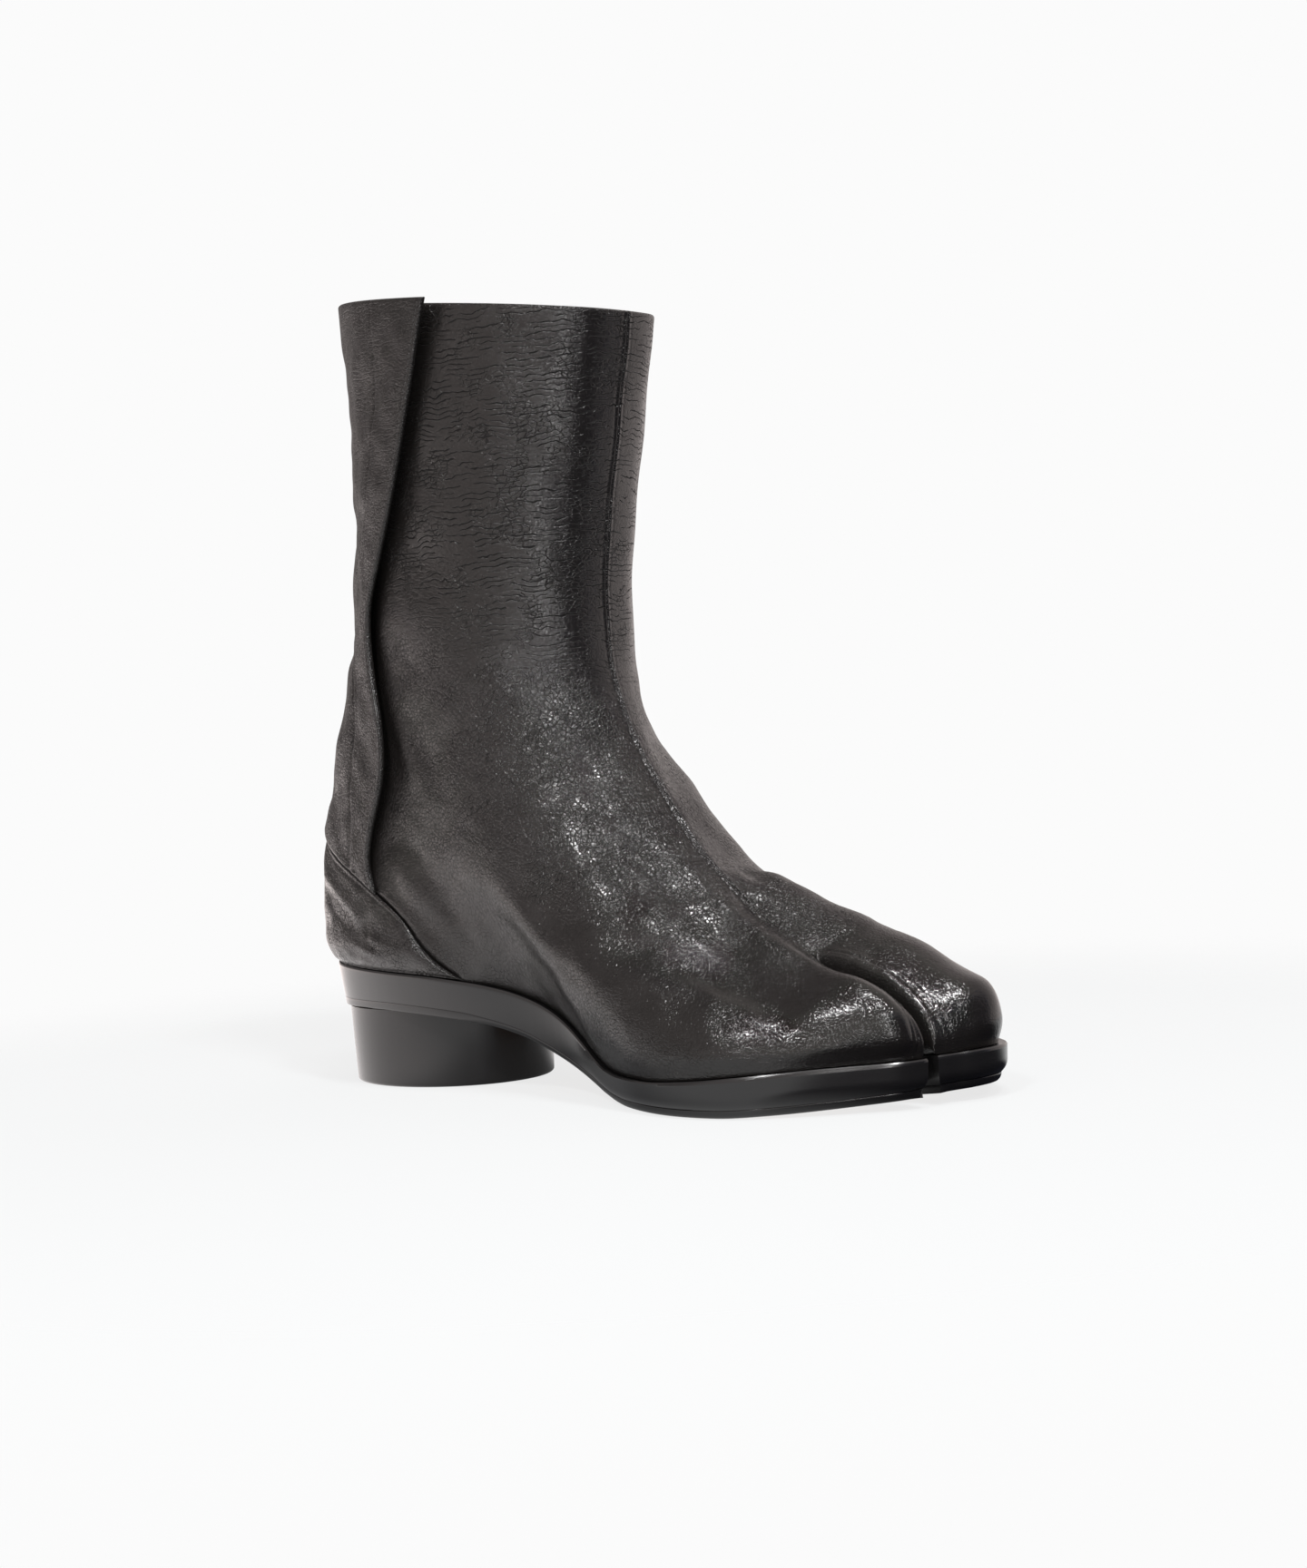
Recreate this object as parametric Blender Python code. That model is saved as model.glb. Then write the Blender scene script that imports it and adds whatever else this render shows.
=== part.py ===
"""Split-toe leather ankle boot with a round block heel, left foot.

Sizes are in millimetres and become metres when a piece is made. +X points to the toe,
+Y to the outer side of the foot and +Z up. The origin is the middle of the heel block's
bottom face, on the floor.

The upper is one surface with two parameters: u runs round the foot, from the front seam
along the inner side to the heel and back along the outer side, and v runs up from the
feather line, where upper meets sole, to the collar. The heel counter and the closure
flap are patches of that surface, so they follow it wherever the tables move it.
"""
import bpy
import bmesh
import numpy as np
from mathutils import Matrix, Vector

MM = 0.001

for obj in list(bpy.data.objects):
    bpy.data.objects.remove(obj, do_unlink=True)

boot = bpy.data.collections.new("split_toe_boot")
bpy.context.scene.collection.children.link(boot)

FINISHES = {  # colour, roughness
    "glazed calf": ((0.022, 0.021, 0.021), 0.40),
    "polished edge": ((0.020, 0.020, 0.021), 0.22),
    "tan sole leather": ((0.55, 0.30, 0.15), 0.50),
    "sock leather": ((0.050, 0.045, 0.042), 0.60),
}

# The profile along the foot: height of the sole's top and bottom at each x.
SOLE_TOP = [  # x, z
    (-48, 41.2), (-15, 39.8), (20, 38.2), (40, 35.8), (52, 33.3), (62, 30.0), (70, 26.3), (77, 22.2),
    (84, 17.8), (92, 13.4), (100, 11.0), (110, 10.2), (125, 10.2), (143, 11.2), (162, 12.8), (180, 14.1),
    (200, 14.8), (214, 16.0),
]
SOLE_BOTTOM = [  # x, z
    (-48, 25.6), (0, 26.0), (15, 25.4), (34, 23.6), (45, 21.2), (57, 17.4), (64, 14.2), (73, 10.0),
    (80, 6.9), (87, 4.2), (95, 1.8), (104, 0.4), (112, 0.0), (152, 0.0), (166, 0.6), (180, 1.5),
    (195, 2.8), (214, 4.8),
]

# The last: one line for each ring, from the feather line up to the collar.
RING_ENDS = [  # x_back, z_back, x_front, z_front, y_front, share of the sole's curve that the ring follows
    (-41.0,  41.0, 201.0,  14.8, -6.0, 1.00),
    (-44.0,  49.0, 200.5,  21.0, -6.0, 0.97),
    (-44.5,  59.0, 195.0,  28.0, -6.0, 0.85),
    (-44.0,  70.0, 184.0,  33.5, -6.0, 0.62),
    (-42.5,  82.0, 168.0,  39.0, -6.0, 0.40),
    (-38.5,  94.0, 153.0,  47.0, -5.5, 0.22),
    (-34.0, 107.0, 137.5,  57.0, -4.0, 0.10),
    (-29.0, 121.0, 121.5,  70.5, -2.5, 0.0),
    (-24.5, 136.0, 106.0,  88.0, -1.5, 0.0),
    (-20.5, 150.0,  94.0, 106.0, -1.0, 0.0),
    (-16.5, 166.0,  85.0, 127.0, -0.5, 0.0),
    (-12.5, 182.0,  81.5, 150.0,  0.0, 0.0),
    (-10.5, 204.0,  84.5, 178.0,  0.0, 0.0),
    (-11.5, 229.0,  91.0, 209.0,  0.0, 0.0),
    (-14.0, 259.0,  98.5, 243.5,  0.0, 0.0),
]
# Seven stations stand along each ring: rear, heel, seat, waist, ball, fore and toe.
STATIONS = [0.035, 0.12, 0.29, 0.48, 0.68, 0.84, 0.95]  # share of the ring's length from its back
STATION_RISE = [0, 0, 0, 0, 0, 0.15, 0.6]               # share of the toe's dome that each one takes
INNER_WIDTHS = [  # at the seven stations, from the middle line
    (18.5, 29.5, 32.5, 23.5, 45.0, 43.5, 23.5),
    (19.5, 31.5, 34.5, 28.0, 47.0, 44.5, 25.5),
    (19.5, 31.5, 35.0, 32.5, 46.5, 42.5, 25.5),
    (19.0, 31.0, 35.0, 35.0, 44.0, 38.0, 22.5),
    (18.5, 30.0, 35.0, 36.5, 40.5, 33.0, 19.5),
    (17.5, 29.0, 34.5, 37.5, 37.5, 29.0, 16.5),
    (16.5, 27.5, 34.0, 37.5, 36.0, 27.0, 14.5),
    (15.5, 26.0, 33.5, 37.0, 35.0, 26.0, 13.5),
    (14.5, 25.0, 33.0, 36.5, 34.0, 25.5, 13.0),
    (14.0, 24.0, 33.0, 36.5, 34.0, 25.5, 13.0),
    (14.0, 24.0, 33.5, 37.0, 34.5, 26.5, 14.5),
]
OUTER_WIDTHS = [  # the same stations on the outer side
    (18.5, 29.5, 32.5, 31.0, 44.5, 47.0, 39.0),
    (19.5, 31.5, 34.5, 34.0, 46.5, 48.5, 40.0),
    (19.5, 31.5, 35.0, 37.0, 46.5, 47.5, 37.0),
    (19.0, 31.0, 35.5, 38.5, 45.0, 45.0, 32.0),
    (18.5, 30.0, 35.5, 39.0, 43.0, 41.0, 30.0),
    (17.5, 29.0, 35.0, 39.5, 41.0, 37.0, 25.5),
    (16.5, 27.5, 34.5, 39.5, 39.0, 34.0, 21.0),
    (15.5, 26.0, 34.0, 38.5, 37.5, 31.5, 17.0),
    (14.5, 25.0, 33.5, 37.0, 36.5, 30.0, 17.5),
    (14.0, 24.0, 33.0, 36.5, 34.5, 25.0, 11.5),
    (14.0, 24.0, 33.5, 37.0, 34.5, 26.5, 14.0),
]
LOBES = [  # crown of each toe lobe: inner x, y, rise above the slit, outer x, y, rise
    (197.8, -15.5, 0.0,   207.5, 16.0, 0.0),
    (198.8, -16.5, 0.4,   209.5, 16.0, 1.5),
    (195.8, -16.0, 1.6,   206.0, 16.0, 5.5),
    (185.5, -15.5, 2.8,   192.5, 15.0, 6.8),
    (169.5, -14.0, 3.0,   176.5, 13.5, 9.8),
    (152.5, -12.0, 2.2,   157.0, 10.5, 8.8),
    (136.0,  -9.5, 1.0,   139.0,  8.0, 7.0),
    (119.5,  -8.0, 0.0,   120.5,  5.0, -1.5),
    (104.5,  -6.5, 0.0,   105.0,  5.0, 0.5),
    (92.8,   -6.0, 0.0,    93.0,  4.0, 0.0),
    (84.0,   -6.5, 0.0,    84.0,  5.5, 0.0),
]
SHAFT_WIDTHS = [36.5, 37.0, 38.0, 39.0]     # half-widths of the rings above, which are plain ovals
OVAL = 2.15                                 # 2 is an ellipse, more is squarer
CROWN_STATION = 0.988
SETTLE_RINGS = 3.0          # how many rings take up what the lowest ring is moved to lie on the sole

# The split between the big toe and the others.
OUTER_RIM_RISE = [0.0, 0.4, 1.8, 4.6, 6.0, 5.0]     # how far its outer rim stands above the inner one
RIM_RISE_ONSET = 1.6        # how soon that rise is full, counted from the end of the split
SLIT_GAP = 8.0
SLIT_RING = 4.5             # the ring, counted from the feather line, where the split ends
SLIT_TAPER = 2.0            # rings over which it narrows
NOTCH_END_X = 166.0         # the same split in the sole
NOTCH_ROUND = 7.0

UPPER_WALL = 1.8
FIT = 0.3                   # clearance between curved pieces
PATCH_FIT = 0.6             # and under the sheets that wrap the upper

# The sole: how far each layer stands out from the feather line or in from it.
WELT_MARGIN = 1.6
TOE_MARGIN = 2.6            # at the outer toe, where the sole shows past the upper
OUTSOLE_THICKNESS = 2.4
INSOLE_THICKNESS = 2.0
INSOLE_INSET = 3.1
HEEL_SLOPE = 4.6            # how far the band's face leans in behind the heel
SEAT_SLOPE = 3.0            # and beside the seat
FOREPART_ROUND = 2.2        # how far its lower edge rounds under in the forepart
BAND_LEVELS = [  # share of the way down, of the heel's slope and of the forepart's rounding
    (0.0, 0.10, 0.16), (0.06, 0.0, 0.0), (0.5, 0.45, 0.08), (0.82, 0.80, 0.42), (1.0, 1.0, 1.0),
]
OUTSOLE_LEVELS = [  # share of the height, inset from the band's lower edge
    (0.0, 0.0), (0.55, 0.3), (1.0, 1.2),
]
SOLE_CUTS = [-30, -12, 8, 24, 36, 46, 54, 61, 68, 75, 82, 89, 97, 105, 112, 132, 152, 166, 180, 194]
SOLE_COLUMNS_PER_STATION = 3

# The heel block, an oval column that leans out a little to the sole.
HEEL_LENGTH, HEEL_WIDTH, HEEL_HEIGHT = 72.0, 60.5, 26.0     # at the floor
HEEL_FLARE = 1.03           # its size at the sole against its size at the floor
HEEL_EDGE = 0.8             # how far its lower edge rounds in
HEEL_POINTS = 44
HEEL_CUTS = [-24, -12, 0, 12, 24]

# The heel counter, a half-moon round the back. Distances round the heel are in u, from the back.
COUNTER_EDGE = [  # distance in u, v, from the back down to the feather line
    (0.0, 4.65), (0.028, 4.5), (0.055, 4.18), (0.082, 3.8), (0.105, 3.4), (0.125, 2.8),
    (0.138, 2.2), (0.146, 1.5), (0.154, 0.85), (0.160, 0.45), (0.165, 0.22),
]
COUNTER_THICKNESS = 1.2
COUNTER_FOOT = 0.07         # v of its lower edge, just clear of the sole
COUNTER_SPREAD = 1.02       # its lower edge reaches a little further round than its seam does
COUNTER_STEPS, COUNTER_COLUMNS = 5, 28
GIRTH, RING_HEIGHT = 540.0, 11.0    # about a whole turn of u and one step of v at the heel

# The closure flap, from its seam on the outer side round the back to its free edge on the inner side.
FLAP_EDGE = [  # v, u of the free edge, how far the edge stands off the upper
    (3.0, 0.379, 0.6), (4.2, 0.378, 1.4), (5.0, 0.373, 2.1), (6.0, 0.361, 2.8), (7.0, 0.349, 3.1),
    (8.0, 0.347, 2.9), (9.0, 0.356, 2.5), (9.6, 0.358, 2.4), (10.3, 0.347, 2.8), (10.9, 0.328, 3.2),
    (11.7, 0.297, 3.7), (12.5, 0.267, 4.0), (13.2, 0.242, 4.2), (14.0, 0.213, 4.3),
]
FLAP_SEAM_U = 0.575
FLAP_THICKNESS = 2.0
FLAP_TOP_RISE = 2.5         # how far it stands above the collar
FLAP_CLEARANCE = 0.08       # v between its lower edge and the counter's seam
FLAP_ROWS, FLAP_COLUMNS = 18, 12

SHARP_ANGLE = 0.7           # radians between two faces that show an edge

# Grids.
COLUMNS_PER_STATION = 4
TWO_ROWS_TO = 11            # two rows for each ring up to this one, then one
WALL_STEPS = 4


def through_rows(table, v):
    """Smooth curve through the rows of a table, with row i at v = i."""
    rows = np.asarray(table, float)
    last = len(rows) - 1
    v = np.clip(np.asarray(v, float), 0, last)
    i = np.minimum(v.astype(int), last - 1)
    s = (v - i)[:, None]
    low, high = rows[i], rows[i + 1]
    slope_low = np.where((i > 0)[:, None], (high - rows[np.maximum(i - 1, 0)]) / 2, high - low)
    slope_high = np.where((i < last - 1)[:, None], (rows[np.minimum(i + 2, last)] - low) / 2, high - low)
    return ((1 + 2*s) * (1 - s)**2 * low + s * (1 - s)**2 * slope_low
            + s*s * (3 - 2*s) * high + s*s * (s - 1) * slope_high)


def through_points(knots, points, u):
    """Smooth open curve through points at the given knots, free to turn at both ends."""
    n = len(knots)
    h = np.diff(knots)
    matrix = np.zeros((n, n))
    right = np.zeros((n, points.shape[1]))
    matrix[0, :2], right[0] = (2, 1), 3 * (points[1] - points[0]) / h[0]
    matrix[-1, -2:], right[-1] = (1, 2), 3 * (points[-1] - points[-2]) / h[-1]
    for i in range(1, n - 1):
        matrix[i, i - 1:i + 2] = 1 / h[i - 1], 2 / h[i - 1] + 2 / h[i], 1 / h[i]
        right[i] = 3 * (points[i] - points[i - 1]) / h[i - 1]**2 + 3 * (points[i + 1] - points[i]) / h[i]**2
    slopes = np.linalg.solve(matrix, right)
    i = np.clip(np.searchsorted(knots, u, side="right") - 1, 0, n - 2)
    s = ((u - knots[i]) / h[i])[:, None]
    step = h[i][:, None]
    return ((1 + 2*s) * (1 - s)**2 * points[i] + s * (1 - s)**2 * step * slopes[i]
            + s*s * (3 - 2*s) * points[i + 1] + s*s * (s - 1) * step * slopes[i + 1])


def height_on(profile, x):
    """Height on a profile at x: a smooth curve that never swings past the table's own values."""
    xs, zs = np.array(profile, float).T
    x = np.clip(np.asarray(x, float), xs[0], xs[-1])
    h = np.diff(xs)
    grade = np.diff(zs) / h
    before, after = grade[:-1], grade[1:]
    same_way = before * after > 0
    mean = np.where(same_way, 2 * before * after / np.where(same_way, before + after, 1), 0)
    slope = np.concatenate([[grade[0]], mean, [grade[-1]]])
    i = np.clip(np.searchsorted(xs, x, side="right") - 1, 0, len(h) - 1)
    s = (x - xs[i]) / h[i]
    return ((1 + 2*s) * (1 - s)**2 * zs[i] + s * (1 - s)**2 * h[i] * slope[i]
            + s*s * (3 - 2*s) * zs[i + 1] + s*s * (s - 1) * h[i] * slope[i + 1])


def ring_controls():
    """The points that each ring of the last runs through, from the front seam round the heel and back."""
    rings = []
    for k, (x_back, z_back, x_front, z_front, y_front, follow) in enumerate(RING_ENDS):
        def height(x):
            share = (x - x_back) / (x_front - x_back)
            sole_back, sole_front = height_on(SOLE_TOP, x_back), height_on(SOLE_TOP, x_front)
            sag = height_on(SOLE_TOP, x) - (sole_back + (sole_front - sole_back) * share)
            return z_back + (z_front - z_back) * share + follow * sag

        if k < len(LOBES):
            x_in, y_in, rise_in, x_out, y_out, rise_out = LOBES[k]
            xs = [x_back + (x_front - x_back) * s for s in STATIONS]
            inner = [(x, -w, height(x) + rise_in * r) for x, w, r in zip(xs, INNER_WIDTHS[k], STATION_RISE)]
            outer = [(x, w, height(x) + rise_out * r) for x, w, r in zip(xs, OUTER_WIDTHS[k], STATION_RISE)]
            inner.append((x_in, y_in, height(x_in) + rise_in))
            outer.append((x_out, y_out, height(x_out) + rise_out))
        else:
            half_width = SHAFT_WIDTHS[k - len(LOBES)]
            inner, outer = [], []
            for s in STATIONS + [CROWN_STATION]:
                x = x_back + (x_front - x_back) * s
                w = half_width * (1 - abs(2*s - 1)**OVAL)**(1 / OVAL)
                inner.append((x, y_front * s - w, height(x)))
                outer.append((x, y_front * s + w, height(x)))
        front = (x_front, y_front, z_front)
        rings.append([front] + inner[::-1] + [(x_back, 0, z_back)] + outer + [front])
    return np.array(rings, float)


CONTROLS = ring_controls()
TOP_RING = len(CONTROLS) - 1


def station_knots():
    """Where the control points stand in u: by length round the third ring, with the heel at one half."""
    inner = CONTROLS[2][:len(CONTROLS[2]) // 2 + 1]
    length = np.concatenate([[0], np.cumsum(np.linalg.norm(np.diff(inner, axis=0), axis=1))])
    half = length / length[-1] / 2
    return np.concatenate([half, 1 - half[:-1][::-1]])


KNOTS = station_knots()


def slit_opening(v):
    return np.sqrt(np.clip((SLIT_RING - np.asarray(v, float)) / SLIT_TAPER, 0, 1))


def last_surface(u, v):
    """Grid of points on the outside of the upper: one row for each v, one column for each u."""
    u = np.asarray(u, float)
    v = np.append(0, np.asarray(v, float))
    rings = through_rows(CONTROLS.reshape(len(CONTROLS), -1), v).reshape(len(v), -1, 3)
    half_gap = slit_opening(v) * SLIT_GAP / 2
    rings[:, 0, 1] -= half_gap
    rings[:, -1, 1] += half_gap
    rise = np.interp(v, range(len(OUTER_RIM_RISE)), OUTER_RIM_RISE)
    rings[:, -1, 2] += rise * np.minimum(1, RIM_RISE_ONSET * slit_opening(v))
    grid = np.stack([through_points(KNOTS, ring, u) for ring in rings])
    # Between its stations the lowest ring leaves the sole's profile a little: it is set on it, and the
    # next ones ease off.
    gap = height_on(SOLE_TOP, grid[0, :, 0]) - grid[0, :, 2]
    grid[:, :, 2] += gap * np.clip(1 - v / SETTLE_RINGS, 0, 1)[:, None]**2
    return grid[1:]


def surface_with_normals(u, v, step=0.002):
    """Points and outward unit normals at matching lists of u and v."""
    def at(us, vs):
        return np.array([last_surface([a], [b])[0, 0] for a, b in zip(us, vs)])
    u, v = np.asarray(u, float), np.asarray(v, float)
    along = at(np.minimum(u + step, 1), v) - at(np.maximum(u - step, 0), v)
    up = at(u, np.minimum(v + step, TOP_RING)) - at(u, np.maximum(v - step, 0))
    normal = np.cross(up, along)
    return at(u, v), normal / np.linalg.norm(normal, axis=1, keepdims=True)


def finish_material(finish):
    """The material of a finish, made when it is first asked for."""
    material = bpy.data.materials.get(finish)
    if material is None:
        colour, roughness = FINISHES[finish]
        material = bpy.data.materials.new(finish)
        material.use_nodes = True
        shader = material.node_tree.nodes["Principled BSDF"]
        shader.inputs["Base Color"].default_value = (*colour, 1)
        shader.inputs["Roughness"].default_value = roughness
        shader.inputs["Metallic"].default_value = 0
    return material


def make_object(name, bm, finish):
    """Object in the boot's collection, its faces turned outward and shaded smooth but for sharp edges."""
    bmesh.ops.recalc_face_normals(bm, faces=bm.faces)
    mesh = bpy.data.meshes.new(name)
    bm.to_mesh(mesh)
    bm.free()
    mesh.materials.append(finish_material(finish))
    mesh.shade_smooth()
    mesh.set_sharp_from_angle(angle=SHARP_ANGLE)
    boot.objects.link(bpy.data.objects.new(name, mesh))


def notch_half_width(x):
    """Half the width of the split at the sole, rounded at its end."""
    return SLIT_GAP / 2 * np.sqrt(np.clip((x - NOTCH_END_X) / NOTCH_ROUND, 0, 1))


# The upper: the open surface first, then its wall.

def add_wall(bm, thickness):
    """Give an open surface a wall on its inner side. Its lower rim keeps its height, to stand on the sole."""
    bmesh.ops.recalc_face_normals(bm, faces=bm.faces)
    bm.normal_update()
    outside = bm.faces[:]
    rim = [edge for edge in bm.edges if edge.is_boundary]
    collar_height = max(vert.co.z for edge in rim for vert in edge.verts)
    inner = {}
    for vert in bm.verts[:]:
        way = vert.normal * vert.calc_shell_factor()
        if vert.is_boundary and vert.co.z < collar_height / 2:
            way = Vector((vert.normal.x, vert.normal.y, 0)).normalized()
        inner[vert] = way
    inner = {vert: bm.verts.new(vert.co - way * thickness) for vert, way in inner.items()}
    for face in outside:
        bm.faces.new([inner[vert] for vert in reversed(face.verts)])
    for edge in rim:
        a, b = edge.verts
        bm.faces.new((a, b, inner[b], inner[a]))


def make_upper():
    spans = [np.linspace(a, b, COLUMNS_PER_STATION + 1)[:-1] for a, b in zip(KNOTS[:-1], KNOTS[1:])]
    u = np.append(np.concatenate(spans), 1.0)
    v = np.concatenate([np.arange(0, TWO_ROWS_TO, 0.5), np.arange(TWO_ROWS_TO, TOP_RING + 1)])
    grid = last_surface(u, v) * MM
    slit_row = int(np.argmin(abs(v - SLIT_RING)))
    last_column = len(u) - 1

    bm = bmesh.new()
    rows = []
    for i, line in enumerate(grid):
        verts = [bm.verts.new(p) for p in line[:-1]]
        verts.append(verts[0] if i >= slit_row else bm.verts.new(line[-1]))
        rows.append(verts)
    for low, high in zip(rows[:-1], rows[1:]):
        for j in range(last_column):
            bm.faces.new((low[j], low[j + 1], high[j + 1], high[j]))

    # The two walls of the split, from its edges down to the notch in the sole.
    crest = [rows[i][0].co.copy() for i in range(slit_row + 1)]
    length = np.concatenate([[0], np.cumsum([(b - a).length for a, b in zip(crest[:-1], crest[1:])])])
    share = length / length[-1]
    y_middle = RING_ENDS[0][4]
    crease = [rows[slit_row][0]]
    foot_x = NOTCH_END_X
    for k in range(1, WALL_STEPS + 1):
        foot = Vector((foot_x, y_middle, height_on(SOLE_TOP, foot_x))) * MM
        crease.append(bm.verts.new(crest[-1].lerp(foot, k / WALL_STEPS)))
    for column, side in ((0, -1), (last_column, 1)):
        previous = [rows[0][column]] * (WALL_STEPS + 1)
        for i in range(1, slit_row + 1):
            if i == slit_row:
                strip = crease
            else:
                top = rows[i][column]
                x = crest[0].x / MM + (foot_x - crest[0].x / MM) * share[i]
                foot = Vector((x, y_middle + side * notch_half_width(x), height_on(SOLE_TOP, x))) * MM
                strip = [top]
                for k in range(1, WALL_STEPS + 1):
                    strip.append(bm.verts.new(top.co.lerp(foot, k / WALL_STEPS)))
            for k in range(WALL_STEPS):
                corners = [previous[k], previous[k + 1], strip[k + 1], strip[k]]
                bm.faces.new(list(dict.fromkeys(corners)))
            previous = strip
    add_wall(bm, UPPER_WALL * MM)
    make_object("upper", bm, "glazed calf")


# The sole's layers: flat plates with the notch, cut across at fixed stations and bent to the profile.

def sole_outline():
    """Plan outline of the feather line: inner mouth of the notch, round the heel, outer mouth, notch."""
    spans = [np.linspace(a, b, SOLE_COLUMNS_PER_STATION + 1)[:-1] for a, b in zip(KNOTS[:-1], KNOTS[1:])]
    side = last_surface(np.append(np.concatenate(spans), 1.0), [0])[0, :, :2]
    y_middle = RING_ENDS[0][4]
    share = np.array([0.16, 0.36, 0.56, 0.74, 0.88, 0.96, 1.0])
    x = side[-1, 0] + (NOTCH_END_X - side[-1, 0]) * share
    outer_wall = np.column_stack([x, y_middle + notch_half_width(x)])
    inner_wall = np.column_stack([x, y_middle - notch_half_width(x)])[:-1][::-1]
    return np.concatenate([side, outer_wall, inner_wall]), len(side)


def moved_out(outline, distance):
    """The outline moved outward by a distance at each of its points."""
    edges = np.roll(outline, -1, 0) - outline
    edges /= np.linalg.norm(edges, axis=1, keepdims=True)
    tangent = edges + np.roll(edges, 1, 0)
    tangent /= np.linalg.norm(tangent, axis=1, keepdims=True)
    outward = np.column_stack([-tangent[:, 1], tangent[:, 0]])
    return outline + outward * np.asarray(distance, float).reshape(-1, 1)


def blend(low, high, x):
    s = np.clip((x - low) / (high - low), 0, 1)
    return s * s * (3 - 2*s)


def cut_and_bend(bm, cuts, z_top, z_bottom):
    """Cut a body across at each x, then bend it: z from 0 to -1 goes between two heights that follow x."""
    for x in cuts:
        bmesh.ops.bisect_plane(bm, geom=bm.verts[:] + bm.edges[:] + bm.faces[:], dist=1e-7,
                               plane_co=(x * MM, 0, 0), plane_no=(1, 0, 0))
    bmesh.ops.triangulate(bm, faces=[f for f in bm.faces if len(f.verts) > 4])
    for vert in bm.verts:
        x = vert.co.x / MM
        top, bottom = z_top(x), z_bottom(x)
        vert.co.z = (top + (bottom - top) * -vert.co.z) * MM


def bent_plate(name, outlines, levels, z_top, z_bottom, finish):
    """Closed plate between two heights that follow x, from outlines at levels 0 (top) to 1 (bottom)."""
    bm = bmesh.new()
    rings = [[bm.verts.new((x * MM, y * MM, -level)) for x, y in outline]
             for outline, level in zip(outlines, levels)]
    count = len(rings[0])
    for upper_ring, lower_ring in zip(rings[:-1], rings[1:]):
        for j in range(count):
            k = (j + 1) % count
            bm.faces.new((upper_ring[j], upper_ring[k], lower_ring[k], lower_ring[j]))
    bm.faces.new(rings[0][::-1])
    bm.faces.new(rings[-1])
    cut_and_bend(bm, SOLE_CUTS, z_top, z_bottom)
    make_object(name, bm, finish)


def band_outlines():
    """Plan outline of the midsole at each level of its band."""
    feather, side_count = sole_outline()
    x, y = feather[:, 0], feather[:, 1]
    on_side = np.arange(len(feather)) < side_count
    margin = WELT_MARGIN + (TOE_MARGIN - WELT_MARGIN) * blend(150, 195, x) * (y > 5)
    margin = np.where(on_side, margin, FIT)
    slope = SEAT_SLOPE + (HEEL_SLOPE - SEAT_SLOPE) * (1 - blend(-34, 0, x))
    forepart = blend(66, 104, x)
    outlines = []
    for level, heel_share, toe_share in BAND_LEVELS:
        inset = slope * heel_share * (1 - forepart) + FOREPART_ROUND * toe_share * forepart
        inset = np.where(on_side, inset, inset * 0.3)
        outlines.append(moved_out(feather, margin - inset))
    return outlines, on_side


def make_sole():
    outlines, on_side = band_outlines()
    bent_plate("midsole", outlines, [level for level, _, _ in BAND_LEVELS],
               lambda x: height_on(SOLE_TOP, x) - FIT,
               lambda x: height_on(SOLE_BOTTOM, x) + OUTSOLE_THICKNESS + FIT / 3, "polished edge")
    under = [moved_out(outlines[-1], np.where(on_side, -inset, -inset / 3)) for _, inset in OUTSOLE_LEVELS]
    bent_plate("outsole", under, [level for level, _ in OUTSOLE_LEVELS],
               lambda x: height_on(SOLE_BOTTOM, x) + OUTSOLE_THICKNESS,
               lambda x: height_on(SOLE_BOTTOM, x), "tan sole leather")
    feather, _ = sole_outline()
    inside = moved_out(feather, np.full(len(feather), -INSOLE_INSET))
    bent_plate("insole", [inside, inside], [0, 1],
               lambda x: height_on(SOLE_TOP, x) + INSOLE_THICKNESS,
               lambda x: height_on(SOLE_TOP, x), "sock leather")


def make_heel():
    """A round column made oval, with its lower edge bevelled and its top bent to the sole."""
    bm = bmesh.new()
    size = Matrix.Diagonal((HEEL_LENGTH * MM, HEEL_WIDTH * MM, HEEL_HEIGHT * MM, 1))
    bmesh.ops.create_cone(bm, cap_ends=True, segments=HEEL_POINTS, radius1=0.5, radius2=HEEL_FLARE / 2,
                          depth=1, matrix=size)
    lower_edge = [edge for edge in bm.edges if all(vert.co.z < 0 for vert in edge.verts)]
    bmesh.ops.bevel(bm, geom=lower_edge, offset=HEEL_EDGE * MM, segments=1, affect="EDGES")
    for vert in bm.verts:
        vert.co.z = vert.co.z / (HEEL_HEIGHT * MM) - 0.5
    cut_and_bend(bm, HEEL_CUTS, lambda x: height_on(SOLE_BOTTOM, x) - FIT, lambda x: 0.0)
    make_object("heel", bm, "polished edge")


# Patches that lie on the upper.

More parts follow.
